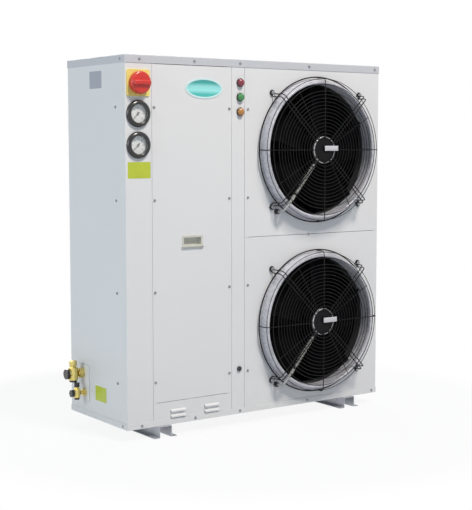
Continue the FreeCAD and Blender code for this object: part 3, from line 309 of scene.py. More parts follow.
# %% Selecting, joining, copying and handing in
def pick(*pieces):
    """Object mode, with only these pieces selected and the first one active."""
    if bpy.context.mode != "OBJECT":
        bpy.ops.object.mode_set(mode="OBJECT")
    bpy.ops.object.select_all(action="DESELECT")
    for piece in pieces:
        piece.select_set(True)
    if pieces:
        bpy.context.view_layer.objects.active = pieces[0]


def settled(piece):
    """Applies a piece's place, so that it lies in the mesh."""
    pick(piece)
    bpy.ops.object.transform_apply(location=True, rotation=True, scale=True)
    return piece


def joined(pieces):
    """One piece out of several, which is active and selected."""
    for piece in pieces:
        settled(piece)
    pick(*pieces)
    bpy.ops.object.join()
    return bpy.context.active_object


def copied(piece, move):
    """A copy with its own mesh, moved or turned by a matrix."""
    twin = bpy.data.objects.new(piece.name, piece.data.copy())
    twin.data.transform(move)
    scene.collection.objects.link(twin)
    return twin


def hand_in(piece, name, slot, body="cabinet", replaced=(), smooth=35):
    """Names a finished piece, paints it and puts it on its body, in place of the nodes it replaces."""
    settled(piece)
    bpy.ops.object.shade_smooth_by_angle(angle=math.radians(smooth))
    piece.name = piece.data.name = name
    piece.data.materials.clear()
    piece.data.materials.append(FINISHES[slot])
    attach(piece, body)
    if replaced:
        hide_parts(*replaced)
    print(name, len(piece.data.polygons), "faces on", body)
    return piece


# %% [markdown]
# ## Turned shapes and wires
#
# Rings, bezels, hubs and knobs are all turned about an axis that points to the front. Their outline is
# drawn by extruding one point, then spun. Guard wires are curves with a round section, made a mesh.


# %% Spin an outline round a front-to-back axis
def turned(outline, centre, steps=96):
    """Spins an outline of (radius, distance in front) in millimetres round a centre."""
    pick()
    corners = [centre + Vector((radius, -out, 0)) * MM for radius, out in outline]
    bpy.ops.mesh.primitive_plane_add(size=MM, location=corners[0])
    piece = bpy.context.active_object
    bpy.ops.object.mode_set(mode="EDIT")
    bpy.ops.mesh.select_mode(type="VERT")
    bpy.ops.mesh.select_all(action="SELECT")
    bpy.ops.mesh.merge(type="CENTER")
    for start, end in zip(corners, corners[1:]):
        bpy.ops.mesh.extrude_vertices_move(TRANSFORM_OT_translate={"value": end - start})
    bpy.ops.mesh.select_all(action="SELECT")
    bpy.ops.mesh.spin(steps=steps, angle=2 * math.pi, center=centre, axis=(0, 1, 0))
    bpy.ops.mesh.select_all(action="SELECT")
    bpy.ops.mesh.remove_doubles(threshold=0.02 * MM)
    bpy.ops.mesh.normals_make_consistent(inside=False)
    return settled(piece)


# %% Bend a wire and roll a hoop
def wire(corners, thickness, closed=False):
    """A round wire through corner points, in metres."""
    pick()
    curve = bpy.data.curves.new("wire", "CURVE")
    curve.dimensions, curve.bevel_depth, curve.bevel_resolution = "3D", thickness * MM / 2, 2
    curve.use_fill_caps = not closed
    line = curve.splines.new("POLY")
    line.points.add(len(corners) - 1)
    for point, corner in zip(line.points, corners):
        point.co = (*corner, 1)
    line.use_cyclic_u = closed
    piece = bpy.data.objects.new("wire", curve)
    scene.collection.objects.link(piece)
    pick(piece)
    bpy.ops.object.convert(target="MESH")
    return bpy.context.active_object


def hoop(centre, radius, out, thickness, steps=96):
    """A welded ring of wire, facing the front, with its middle `out` in front of the centre."""
    pick()
    bpy.ops.mesh.primitive_torus_add(
        location=centre + Vector((0, -out, 0)) * MM, rotation=(math.pi / 2, 0, 0),
        major_radius=radius * MM, minor_radius=thickness * MM / 2, major_segments=steps, minor_segments=8)
    return settled(bpy.context.active_object)


# %% [markdown]
# ## Blocks, rounded and cut
#
# A few pieces start as a cube, scaled to their size at their place. Their edges are rounded with a Bevel
# and their holes cut with a Boolean, because both keep the numbers of a real drawing: a radius, a bore.


# %% Add a block, round it, cut it and find its front
def block(centre, size, rotation=(0, 0, 0)):
    """A cuboid by its middle and its size, in metres."""
    pick()
    bpy.ops.mesh.primitive_cube_add(size=1, location=centre, rotation=rotation)
    piece = bpy.context.active_object
    piece.scale = size
    return settled(piece)


def rounded(piece, radius, segments, sharp=30):
    """Rounds the edges that turn by more than `sharp` degrees, by `radius` millimetres."""
    soft = piece.modifiers.new("corner", "BEVEL")
    soft.width, soft.segments = radius * MM, segments
    soft.limit_method, soft.angle_limit = "ANGLE", math.radians(sharp)
    bpy.ops.object.modifier_apply(modifier=soft.name)
    return piece


def cut(piece, cutter):
    """Takes the cutter's volume out of the piece, and removes the cutter."""
    pick(piece)
    hole = piece.modifiers.new("hole", "BOOLEAN")
    hole.object, hole.operation = cutter, "DIFFERENCE"
    bpy.ops.object.modifier_apply(modifier=hole.name)
    bpy.data.objects.remove(cutter)


def front_faces(piece):
    """Edit mode, with only the faces selected that look to the front."""
    bpy.ops.object.mode_set(mode="EDIT")
    bpy.ops.mesh.select_mode(type="FACE")
    bpy.ops.mesh.select_all(action="DESELECT")
    mesh = bmesh.from_edit_mesh(piece.data)
    for side in mesh.faces:
        side.select = side.normal.y < -0.9
    bmesh.update_edit_mesh(piece.data)


print("workshop ready")

# %% [markdown]
# ## Folded sheet with soft edges
#
# Real folded sheet has a small radius on every edge, and that thin highlight tells the eye that it is
# metal. The CAD solid already has the shape, so a copy is merged into clean faces, its sharp edges are
# bevelled, and the copy stands in for the solid. Weighted normals then keep the wide faces flat, because
# plain smooth shading would bend the light across them towards each bevel.


# %% Dress a CAD sub-part
def dressed(node, edge=0.4, sharp=40, segments=2, merge=0.01):
    """A copy of a CAD sub-part with its edges rounded by `edge` millimetres."""
    piece = bpy.data.objects.new(node, frame["nodes"][node].data.copy())
    scene.collection.objects.link(piece)
    pick(piece)
    bpy.ops.object.mode_set(mode="EDIT")
    bpy.ops.mesh.select_all(action="SELECT")
    bpy.ops.mesh.remove_doubles(threshold=merge * MM)
    bpy.ops.mesh.dissolve_limited(angle_limit=math.radians(1))
    bpy.ops.object.mode_set(mode="OBJECT")
    if edge:
        rounding = piece.modifiers.new("edge", "BEVEL")
        rounding.width, rounding.segments = edge * MM, segments
        rounding.limit_method, rounding.angle_limit = "ANGLE", math.radians(sharp)
        bpy.ops.object.modifier_apply(modifier=rounding.name)
    hand_in(piece, node + "_formed", SLOT_OF[node], BODY_OF[node], [node])
    flatten = piece.modifiers.new("flatten", "WEIGHTED_NORMAL")
    flatten.weight, flatten.keep_sharp = 100, True
    bpy.ops.object.modifier_apply(modifier=flatten.name)
    return piece


# %% Panels, lid, tray, feet and inside sheets
SHEETS = ["base_tray", "left_panel", "right_panel", "rear_panel", "service_panel", "kick_panel",
          "pilot_strip", "upper_fan_panel", "lower_fan_panel", "partition", "coil_end_plates",
          "grip_cup", "valve_plate"]
sheets = {node: dressed(node, 0.35) for node in SHEETS}
# The lid gets a much greyer copy of the panels' coat: painted shade, so that its top and skirt stay darker than
# the panels under the high key light
lid = dressed("lid", 0.9, segments=3)
lid.data.materials[0] = powder_coat("lid_painted_shade", (0.54, 0.55, 0.60))
for node in ("foot_rail_left", "foot_rail_right"):
    dressed(node, 0.8)

# %% [markdown]
# ## Switch plate, gauge cases, valves and the machines inside
#
# These solids have the right form too. Castings and mouldings have larger radii than sheet, so each
# gets the edge that its way of making leaves.

# %% Castings, mouldings and pipes
EDGES = {
    "main_switch_plate": 0.8, "service_valves": 0.7, "black_caps": 0.8,
    "compressor": 1.0, "compressor_grommets": 1.0, "receiver_and_drier": 1.0, "copper_lines": 0,
    "electrical_box": 1.0, "switchgear": 0.8, "guard_bolts": 0.6, "cable_glands": 0.5, "motor_leads": 0,
    "gauge_dials": 0, "gauge_glasses": 0.2, "upper_gauge_needle": 0.1, "lower_gauge_needle": 0.1,
    "upper_fan_rotor": 0.3, "lower_fan_rotor": 0.3, "coil_guard": 0.5,
}
formed = {node: dressed(node, edge) for node, edge in EDGES.items()}

# %% The larger valve's upper cap is brass
caps = formed["black_caps"].data
caps.materials.append(FINISHES["brass"])
UPPER_CAP, PLUG_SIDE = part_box("black_caps")[1].z - 16 * MM, -0.56
brass_faces = [face for face in caps.polygons if face.center.z > UPPER_CAP and face.center.x < PLUG_SIDE]
for face in brass_faces:
    face.material_index = 1
print(len(brass_faces), "brass faces")

# %% [markdown]
# ## Painted shade in the fan chamber
#
# Between the blades the chamber looks black. That black is painted shade: a dark material on the inner faces of
# the sheets that close the chamber, where light hardly reaches, and each sheet keeps its own finish outside. The
# faces are found by the way they point, and only those get the second material.

# %% Paint shade on the inner faces
CHAMBER_SHADE = moulded("chamber_painted_shade", (0.020, 0.020, 0.022), 0.9)
SHADED_SIDES = {"right_panel": (-1, 0, 0), "partition": (1, 0, 0),
         "upper_fan_panel": (0, 1, 0), "lower_fan_panel": (0, 1, 0)}
shaded = 0
for node, inward in SHADED_SIDES.items():
    sheets[node].data.materials.append(CHAMBER_SHADE)
    for face in sheets[node].data.polygons:
        if face.normal.dot(Vector(inward)) > 0.9:
            face.material_index, shaded = 1, shaded + 1
print(shaded, "lined faces")

# %% [markdown]
# ## The fan nozzle
#
# The air leaves through a spun steel ring. Its outer wall tapers to a rolled lip at the front, and the
# throat runs back past the blade tips. One outline, spun once, gives all of it.

# %% Spin the nozzle and copy it down to the lower fan
SPIN = {joint["child"]: Vector(joint["pos_m"]) for joint in frame["joints"] if joint["type"] == "hinge"}
UPPER, LOWER = SPIN["upper_fan"], SPIN["lower_fan"]
DOWN = Matrix.Translation(LOWER - UPPER)
OUTER_WALL = [(255, 0.2), (254.6, 2), (253.5, 8), (248, 36)]
ROLLED_LIP = [(247.2, 38.6), (245.6, 39.8), (243, 40), (240.6, 39.6), (239, 38.4), (238.2, 36)]
THROAT_WALL = [(238, 30), (238, -14), (238, -47), (239.8, -47), (239.8, 34)]
INSIDE_LIP = [(241, 37.6), (243, 38.2), (245.4, 37), (246, 35), (251.6, 8), (253, 0.2), (255, 0.2)]
NOZZLE = OUTER_WALL + ROLLED_LIP + THROAT_WALL + INSIDE_LIP
upper_nozzle = turned(NOZZLE, UPPER, 128)
lower_nozzle = copied(upper_nozzle, DOWN)
nozzles = joined([upper_nozzle, lower_nozzle])
hand_in(nozzles, "fan_nozzles_spun", "galvanised", replaced=["fan_nozzles"])
# The nozzles' thick zinc is duller than the rolled sheet of the feet, and paler because the feet's zinc carries
# painted shade
NOZZLE_ZINC = galvanised("nozzle_zinc", (0.54, 0.54, 0.60), crystal=0.009, rough=0.42, metal=0.1)
nozzles.data.materials[0] = NOZZLE_ZINC
# Past the blades the throat wall gets the chamber's painted shade, dark where it lies in shadow
nozzles.data.materials.append(CHAMBER_SHADE)
PAST_BLADES = UPPER.y + 15 * MM
for face in nozzles.data.polygons:
    face.material_index = int(face.center.y > PAST_BLADES)

# %% [markdown]
# ## The wire guard
#
# Each guard is a nest of hoops welded on radial wires. The hoops are tori at one pitch, the radial wires
# are one bent wire copied round the axis, and four pairs of thicker wires end in eyelets on the panel.


# %% Points round the fan and copies round its axis
def round_fan(centre, radius, out, angle=0.0, aside=0.0):
    """A point at a radius and an angle about the fan, so far in front of the panel, in millimetres."""
    turn = math.radians(angle)
    across = radius * math.cos(turn) - aside * math.sin(turn)
    up = radius * math.sin(turn) + aside * math.cos(turn)
    return centre + Vector((across, -out, up)) * MM


def turned_copy(piece, centre, degrees):
    """A copy turned about the fan's axis."""
    about = Matrix.Translation(centre)
    return copied(piece, about @ Matrix.Rotation(math.radians(degrees), 4, "Y") @ about.inverted())


# %% Hoops: a nest at one pitch, then the rim, the thick hem on the panel and the ring between them
HOOP_COUNT, HOOP_PITCH, FIRST_HOOP, HOOP_WIRE = 14, 12.7, 46.75, 2.2
FRONT_LEVEL, SPOKE_LEVEL, HEM_LEVEL, SIDE_LEVEL = 54.9, 51.9, 7.8, 44
WIDE_HOOPS = [(235.5, FRONT_LEVEL, 2.8), (263, HEM_LEVEL, 5), (256, SIDE_LEVEL, 2.4)]
hoops = [hoop(UPPER, FIRST_HOOP + i * HOOP_PITCH, FRONT_LEVEL, HOOP_WIRE) for i in range(HOOP_COUNT)]
hoops += [hoop(UPPER, radius, out, thickness, 128) for radius, out, thickness in WIDE_HOOPS]
print(len(hoops), "hoops")

# %% Radial wires: four long ones down to the hem, and shorter ones between them
LONG_SIDE = [(44, SPOKE_LEVEL), (246, SPOKE_LEVEL), (254, 49.5), (259, SIDE_LEVEL), (260.3, 36),
             (260.3, HEM_LEVEL - 1)]
SHORT_SIDE = [(44, SPOKE_LEVEL), (240, SPOKE_LEVEL)]
LONG_WIRE, SHORT_WIRE, SHORT_TURN = 3.4, 2.8, 30
long_spoke = settled(wire([round_fan(UPPER, *corner) for corner in LONG_SIDE], LONG_WIRE))
short_spoke = settled(wire([round_fan(UPPER, *corner, SHORT_TURN) for corner in SHORT_SIDE], SHORT_WIRE))
spokes = [long_spoke, short_spoke]
spokes += [turned_copy(long_spoke, UPPER, turn) for turn in (90, 180, 270)]
spokes += [turned_copy(short_spoke, UPPER, turn) for turn in (30, 90, 120, 180, 210, 270, 300)]
print(len(spokes), "radial wires")

# %% Arms: a pair of wires each, closed round an eyelet on the panel
ARM_TURN, ARM_HALF, ARM_WIRE = 45, 7, 3.9
EYELET_CIRCLE, EYELET_RADIUS, EYELET_LEVEL = 287, 8.6, 2.6
EYELET_STEPS = range(120, -121, -20)
ARM_SIDE = [(46, SPOKE_LEVEL - 0.1), (262, SPOKE_LEVEL - 0.1), (269, 49), (272.6, 42), (273.2, 34),
            (273.2, 8), (274.5, 4.2), (278, EYELET_LEVEL)]
path = [round_fan(UPPER, *corner, ARM_TURN, ARM_HALF) for corner in ARM_SIDE]
for degrees in EYELET_STEPS:
    turn = math.radians(degrees)
    path.append(round_fan(UPPER, EYELET_CIRCLE + EYELET_RADIUS * math.cos(turn), EYELET_LEVEL,
                          ARM_TURN, EYELET_RADIUS * math.sin(turn)))
path += [round_fan(UPPER, *corner, ARM_TURN, -ARM_HALF) for corner in reversed(ARM_SIDE)]
arm = settled(wire(path, ARM_WIRE))
arms = [arm] + [turned_copy(arm, UPPER, turn) for turn in (90, 180, 270)]
print(len(arms), "arms")

# %% Weld the guard together and copy it
upper_guard = joined(hoops + spokes + arms)
lower_guard = copied(upper_guard, DOWN)
hand_in(upper_guard, "upper_wire_guard", "guard_black", replaced=["fan_guards"])
hand_in(lower_guard, "lower_wire_guard", "guard_black")

# %% [markdown]
# ## The motor's front end
#
# The motor is an external-rotor one: a die-cast stator end hangs on the guard and the black rotor cup
# turns behind it. The rim of the casting is polished by handling, and its middle is painted black.

# %% Stator end and painted face
STATOR_BLACK = gloss_paint("stator_black", (0.004, 0.004, 0.005), 0.5, specular=0.12)
STATOR = [(0, 38), (50, 38), (50, 45.5), (49.5, 47.8), (48.4, 49), (46.8, 49.4), (0, 49.4)]
CORE = [(6.3, 37.9), (6.3, -24), (44, -24), (44, 37.9), (6.3, 37.9)]
stator_end = turned(STATOR, UPPER, 64)
stator_core = turned(CORE, UPPER, 48)
stator = joined([stator_end, stator_core])
FACE = [(0, 49.2), (45.6, 49.2), (45.6, 49.6), (44.6, 49.95), (16, 49.95), (14.5, 49.6), (0, 49.6)]
face = turned(FACE, UPPER, 64)
pair = joined([stator, copied(stator, DOWN)])
hand_in(pair, "stator_ends", "die_cast", replaced=["fan_stators"])
faces = joined([face, copied(face, DOWN)])
hand_in(faces, "stator_faces", "rotor_black")
faces.data.materials[0] = STATOR_BLACK

# %% Spiral wrap round each motor lead, with a gap for the clip: start, end, coil radius, thickness
WRAPPED = [(68, 198, 5.2, 3.4), (210, 230, 5.2, 3.4), (230, 256, 4.4, 2.0)]
LEAD_ANGLE, LEAD_LEVEL = math.degrees(math.atan2(-220, -182)), 44.5
WRAP_PITCH, TURN_STEPS = 7.5, 14
wraps = []
for start, end, coil_radius, thickness in WRAPPED:
    helix = []
    for i in range(int((end - start) / WRAP_PITCH * TURN_STEPS)):
        turn = 2 * math.pi * i / TURN_STEPS
        along, out = start + WRAP_PITCH * i / TURN_STEPS, LEAD_LEVEL + coil_radius * math.cos(turn)
        helix.append(round_fan(UPPER, along, out, LEAD_ANGLE, coil_radius * math.sin(turn)))
    wraps.append(wire(helix, thickness))
wrap = joined(wraps)
hand_in(joined([wrap, copied(wrap, DOWN)]), "lead_wraps", "grip_beige", smooth=60)

# %% Bare pale plate on each guard
PLATE_PLACE, PLATE_SIZE = Vector((27, -56.5, 6)), Vector((62, 0.8, 18))
plate = rounded(block(UPPER + PLATE_PLACE * MM, PLATE_SIZE * MM), 0.3, 2)
guard_plates = joined([plate, copied(plate, DOWN)])
hand_in(guard_plates, "guard_plates", "dial_white")
guard_plates.data.materials[0] = moulded("plate_grey", (0.58, 0.58, 0.62), 0.5)

# %% [markdown]
# ## The grip's lip
#
# Under the recess of the service panel a small ledge stands out, so that the fingers don't slip. It is a
# block whose lower front edge is drawn back, with its corners rounded.

# %% Shape the ledge
LEDGE_PLACE, LEDGE_SIZE = Vector((-291.5, -204.2, 645.5)) * MM, Vector((88, 8.4, 7)) * MM
ledge = block(LEDGE_PLACE, LEDGE_SIZE)
bpy.ops.object.mode_set(mode="EDIT")
bpy.ops.mesh.select_mode(type="VERT")
bpy.ops.mesh.select_all(action="DESELECT")
mesh = bmesh.from_edit_mesh(ledge.data)
for vertex in mesh.verts:
    vertex.select = vertex.co.y < LEDGE_PLACE.y and vertex.co.z < LEDGE_PLACE.z
mesh.select_flush(True)
bmesh.update_edit_mesh(ledge.data)
bpy.ops.transform.translate(value=(0, 6 * MM, 0))
bpy.ops.object.mode_set(mode="OBJECT")
hand_in(rounded(ledge, 1.2, 3), "grip_ledge", "grip_beige", "service_door")

# %% [markdown]
# ## The main switch knob
#
# A red rotary handle on a yellow plate: a thick round base with a raised bar across it. The base is
# turned, and the bar is a block whose front face is drawn in, so that its sides slope.

# %% Turn the base and taper the bar
KNOB = SPIN["switch_knob"]
KNOB_BASE = [(0, 5), (35.5, 5), (37, 6.4), (37, 21), (36.2, 24), (34, 26), (30, 27), (12, 27.4),
             (0, 27.4)]
SPINDLE = [(0, -17), (4, -17), (4, 5.2), (0, 5.2)]
BAR_SIZE, BAR_TAPER = Vector((68, 22.5, 22)) * MM, (0.9, 1, 0.62)
BAR_MIDDLE, BAR_FRONT = 25 * MM, 36 * MM
base = turned(KNOB_BASE, KNOB, 64)
spindle = turned(SPINDLE, KNOB, 24)
bar = block(KNOB - Vector((0, BAR_MIDDLE, 0)), BAR_SIZE)
front_faces(bar)
bpy.ops.transform.resize(value=BAR_TAPER, center_override=KNOB - Vector((0, BAR_FRONT, 0)))
bpy.ops.object.mode_set(mode="OBJECT")
knob = joined([base, spindle, rounded(bar, 3.2, 4)])
hand_in(knob, "main_switch_handle", "red_knob", "switch_knob", ["main_switch_knob"], smooth=50)
knob_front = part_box("main_switch_knob")[0].y
print("knob stands", round((KNOB.y - knob_front) / MM, 1), "mm proud")

# %% [markdown]
# ## Gauge cases, lamp rims and the switch block
#
# The pressure gauges sit in glossy black cases whose rims are rounded, which gives each one a ring of
# light. The CAD's solids give the places, and their widths tell a gauge from a lamp and from the block
# of the main switch, which is a box behind the panel with a bore for the spindle.


# %% Where the CAD puts the solids of a node
def solids_of(node):
    """The middle and the size of each separate solid in a node."""
    mesh = bmesh.new()
    mesh.from_mesh(frame["nodes"][node].data)
    bmesh.ops.remove_doubles(mesh, verts=mesh.verts, dist=0.01 * MM)
    left, found = set(mesh.verts), []
    while left:
        island, edge_of_island = set(), [left.pop()]
        while edge_of_island:
            vertex = edge_of_island.pop()
            island.add(vertex)
            for link in vertex.link_edges:
                other = link.other_vert(vertex)
                if other in left:
                    left.remove(other)
                    edge_of_island.append(other)
        low = Vector([min(v.co[i] for v in island) for i in range(3)])
        high = Vector([max(v.co[i] for v in island) for i in range(3)])
        found.append(((low + high) / 2, high - low))
    mesh.free()
    return found


# %% Outlines of a gauge case, a lamp rim and the switch's neck
CASE_BACK, CASE_SIDE = [(0, -30), (39, -30), (39, 0)], [(45, 0), (45, 2.2), (44.6, 4.8), (43.4, 7.4)]
CASE_RIM = [(41.4, 9.6), (38.6, 11.3), (35.4, 12), (33, 11.6), (31.4, 10.4), (30.6, 8.6)]
GAUGE_CASE = CASE_BACK + CASE_SIDE + CASE_RIM + [(30.5, 7), (30.5, -2), (0, -2)]
LAMP_RIM = [(0, -40), (11, -40), (11, 0), (15.5, 0), (15.5, 2.4), (15, 3.5), (14, 4), (0, 4)]
BLOCK_DEPTH, SPINDLE_BORE, BORE_DEPTH = 55, 4.4, 36
NECK = [(SPINDLE_BORE, -1.2), (20, -1.2), (20, 0), (SPINDLE_BORE, 0), (SPINDLE_BORE, -1.2)]
GAUGE_WIDE, SWITCH_WIDE = 80 * MM, 50 * MM


# %% Build the switch block, then turn the cases and rims
def switch_block(centre, side, back):
    """The switch's box, ending at the level `back`, with its neck and its bore."""
    middle = (centre.x, back - BLOCK_DEPTH / 2 * MM, centre.z)
    box = rounded(block(middle, (side, BLOCK_DEPTH * MM, side)), 1.2, 2)
    pick()
    bpy.ops.mesh.primitive_cylinder_add(vertices=32, radius=SPINDLE_BORE * MM, depth=BORE_DEPTH * MM,
                                        location=(centre.x, back - BLOCK_DEPTH * MM, centre.z),
                                        rotation=(math.pi / 2, 0, 0))
    cut(box, settled(bpy.context.active_object))
    return joined([box, turned(NECK, centre, 48)])


housings = []
for middle, size in solids_of("control_housings"):
    centre = Vector((middle.x, UPPER.y, middle.z))
    if size.x > GAUGE_WIDE:
        housings.append(turned(GAUGE_CASE, centre, 64))
    elif size.x > SWITCH_WIDE:
        housings.append(switch_block(centre, size.x, middle.y + size.y / 2))
    else:
        housings.append(turned(LAMP_RIM, centre, 64))
print(len(housings), "housings")
hand_in(joined(housings), "control_cases", "black_plastic", replaced=["control_housings"], smooth=40)

# %% [markdown]
# ## Pilot lamps
#
# Each lens is a small coloured dome in a black ring. A quarter of an ellipse, spun, gives the dome, and
# the CAD node's own box gives its width and how far it stands out.

# %% Spin the three domes, each on a short straight side
DOME_STEPS, DOME_SIDE = 8, 3
for colour in ("red", "green", "amber"):
    low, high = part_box("pilot_lens_" + colour)
    radius, front = (high.x - low.x) / 2 / MM, (UPPER.y - low.y) / MM
    back = (UPPER.y - high.y) / MM
    dome = [(radius, back)]
    for i in range(DOME_STEPS + 1):
        turn = math.pi / 2 * i / DOME_STEPS
        rise = (front - back - DOME_SIDE) * math.sin(turn)
        dome.append((radius * math.cos(turn), back + DOME_SIDE + rise))
    middle = Vector(((low.x + high.x) / 2, UPPER.y, (low.z + high.z) / 2))
    lens = turned([(0, back)] + dome, middle, 40)
    hand_in(lens, "pilot_dome_" + colour, "lens_" + colour, replaced=["pilot_lens_" + colour], smooth=60)

# %% [markdown]
# ## Gauge dials
#
# A pressure gauge reads over three quarters of a turn. The scale is raised ink: a short bar for each
# mark, longer and wider at every fifth, where a plain number stands inside it.

# %% Marks and numbers
SWEEP_START, SWEEP, MARKS = 225, 270, 31
MAIN_MARK, FINE_MARK = (4.6, 0.9), (2.6, 0.45)
NUMBER_SIZE, NUMBER_INSET, SCALE_INSET = 5.0, 8.6, 2.6
DIAL_BEHIND, INK_LIFT, INK_THICK = 1.0 * MM, 0.08 * MM, 0.12 * MM
FACE_LEVEL = UPPER.y + DIAL_BEHIND - INK_LIFT
glass_low, glass_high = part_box("gauge_glasses")
SCALE_RADIUS = (glass_high.x - glass_low.x) / 2 / MM - SCALE_INSET


def dial_marks(centre):
    """The marks and numbers of one dial, flat on its face."""
    ink = []
    for i in range(MARKS):
        turn = math.radians(SWEEP_START - SWEEP * i / (MARKS - 1))
        main = i % 5 == 0
        length, width = MAIN_MARK if main else FINE_MARK
        out = Vector((math.cos(turn), 0, math.sin(turn)))
        pick()
        bpy.ops.mesh.primitive_plane_add(size=1, rotation=(math.pi / 2, 0, 0))
        mark = bpy.context.active_object
        mark.scale = (length * MM, width * MM, 1)
        settled(mark)
        middle = Vector((centre.x, FACE_LEVEL, centre.z)) + out * (SCALE_RADIUS - length / 2) * MM
        mark.data.transform(Matrix.Translation(middle) @ Matrix.Rotation(-turn, 4, "Y"))
        ink.append(mark)
        if main:
            bpy.ops.object.text_add(rotation=(math.pi / 2, 0, 0))
            figure = bpy.context.active_object
            figure.data.body, figure.data.size = str(i), NUMBER_SIZE * MM
            figure.data.align_x, figure.data.align_y = "CENTER", "CENTER"
            inside = out * (SCALE_RADIUS - NUMBER_INSET) * MM
            figure.location = Vector((centre.x, FACE_LEVEL, centre.z)) + inside
            bpy.ops.object.convert(target="MESH")
            ink.append(bpy.context.active_object)
    return ink


ink = dial_marks(SPIN["upper_needle"]) + dial_marks(SPIN["lower_needle"])
ink = joined(ink)
thick = ink.modifiers.new("ink", "SOLIDIFY")
thick.thickness, thick.offset = INK_THICK, 0
bpy.ops.object.modifier_apply(modifier=thick.name)
hand_in(ink, "dial_scales", "needle_black")

# %% [markdown]
# ## Badge and labels
#
# The unit carries an oval badge on its service panel and three rectangular labels. All are left bare.
# The badge is a disc stretched to an oval. Its face is drawn in three times, which gives a raised edge,
# a flat pale border and the field, a shallow step down inside it.


# %% Finishes of the badge and labels
def sticker(name, colour):
    """Printed film: even colour, fine grain, faded a little in patches."""
    material, shader, place = new_finish(name, 0.42, coat=0.25)
    fade = place.noise(0.03, 4)
    connect(shader, colour=fade.mixed(scaled(colour, 0.92), scaled(colour, 1.07)),
            rough=fade * 0.15 + 0.34, bump=(place.noise(0.0006, 2), 0.00001))
    return material


def badge_field(name, middle, half):
    """Turquoise enamel, paler along the middle of its height."""
    material = sticker(name, (0.1, 0.5, 0.5))
    shader = material.node_tree.nodes["Principled BSDF"]
    coordinates = next(node for node in material.node_tree.nodes if node.type == "TEX_COORD")
    place = Shade(material.node_tree, coordinates.outputs["Object"])
    across = place.maths("ABSOLUTE", (place.height() - middle) * (1 / half))
    band = across.node("ShaderNodeMapRange", {0: across, 1: 0.15, 2: 0.62},
                       interpolation_type="SMOOTHSTEP")
    connect(shader, colour=band.mixed((0.30, 0.74, 0.75), (0.045, 0.42, 0.40)))
    return material


# The badge's middle, then half its width, half its height and its thickness
BADGE_PLACE, BADGE_HALF = Vector((-242, -200.7, 1186)) * MM, Vector((76, 35, 1.3)) * MM
TURQUOISE = badge_field("badge_turquoise", BADGE_PLACE.z, BADGE_HALF.y)
PALE = sticker("badge_border", (0.62, 0.80, 0.83))
LABEL_GREEN = sticker("label_yellow_green", (0.47, 0.55, 0.035))
LABEL_GREY = sticker("label_grey", (0.33, 0.36, 0.43))
print("sticker finishes ready")

# %% The oval badge: how far in, and how far up, each inset goes
INSETS = [(1.2, 0.3), (4.6, 0), (0.4, -0.25)]
pick()
bpy.ops.mesh.primitive_cylinder_add(vertices=96, radius=1, depth=1, rotation=(math.pi / 2, 0, 0),
                                    location=BADGE_PLACE)
badge = bpy.context.active_object
badge.scale = BADGE_HALF
settled(badge)
front_faces(badge)
for inward, up in INSETS:
    bpy.ops.mesh.inset(thickness=inward * MM, depth=up * MM)
bpy.ops.object.mode_set(mode="OBJECT")
field = [side.index for side in badge.data.polygons if side.normal.y < -0.9 and len(side.vertices) > 8]
hand_in(badge, "oval_badge", "grip_beige", "service_door")
badge.data.materials.clear()
badge.data.materials.append(PALE)
badge.data.materials.append(TURQUOISE)
for index in field:
    badge.data.polygons[index].material_index = 1
print(len(field), "field face")


# %% The rectangular labels
LABEL_CORNER = 2.5 * MM


def label(name, centre, size, material):
    """A thin label with rounded corners, by its middle and its size in millimetres."""
    piece = block(Vector(centre) * MM, Vector(size) * MM)
    thin = min(range(3), key=lambda axis: size[axis])
    bpy.ops.object.mode_set(mode="EDIT")
    bpy.ops.mesh.select_mode(type="EDGE")
    bpy.ops.mesh.select_all(action="DESELECT")
    mesh = bmesh.from_edit_mesh(piece.data)
    for edge in mesh.edges:
        run = edge.verts[0].co - edge.verts[1].co
        edge.select = abs(run[thin]) > 0.9 * run.length
    bmesh.update_edit_mesh(piece.data)
    bpy.ops.mesh.bevel(offset=LABEL_CORNER, segments=4)
    bpy.ops.object.mode_set(mode="OBJECT")
    hand_in(piece, name, "dial_white")
    piece.data.materials.clear()
    piece.data.materials.append(material)


label("label_on_strip", (-500.5, -200.25, 911), (87, 0.5, 54), LABEL_GREEN)
label("label_side_top", (-552.75, -1.5, 1214), (0.5, 83, 58), LABEL_GREY)
label("label_side_low", (-552.75, -17.5, 134), (0.5, 77, 52), LABEL_GREEN)

# %% [markdown]
# ## Screws
#
# Every panel is held by pan-head screws with a cross recess. One screw is modelled: a low cylinder with
# a rounded top, and a cross cut into it. It is then copied to each place that the CAD gives.

# %% Model one screw, facing the front at the origin
HEAD_RADIUS, HEAD_DEPTH, HEAD_ROUND, WASHER_RADIUS, WASHER_DEPTH = 4.4, 2.4, 1.1, 5.0, 0.5
SLOT_SIZE = Vector((4.6, 1.8, 1.0)) * MM


def disc(radius, depth, behind=0):
    """A flat cylinder on the front-to-back axis."""
    pick()
    bpy.ops.mesh.primitive_cylinder_add(vertices=24, radius=radius * MM, depth=depth * MM,
                                        rotation=(math.pi / 2, 0, 0), location=(0, behind * MM, 0))
    return settled(bpy.context.active_object)


screw = rounded(disc(HEAD_RADIUS, HEAD_DEPTH), HEAD_ROUND, 3, sharp=60)
for turn in (45, 135):
    cut(screw, block((0, -HEAD_DEPTH / 2 * MM, 0), SLOT_SIZE, (0, math.radians(turn), 0)))
screw = joined([screw, disc(WASHER_RADIUS, WASHER_DEPTH, HEAD_DEPTH / 2)])
print("one screw:", len(screw.data.polygons), "faces")

# %% Copy it to every place
TO_SIDE = Matrix.Rotation(math.radians(-90), 4, "Z")
TO_FRONT = Matrix.Identity(4)
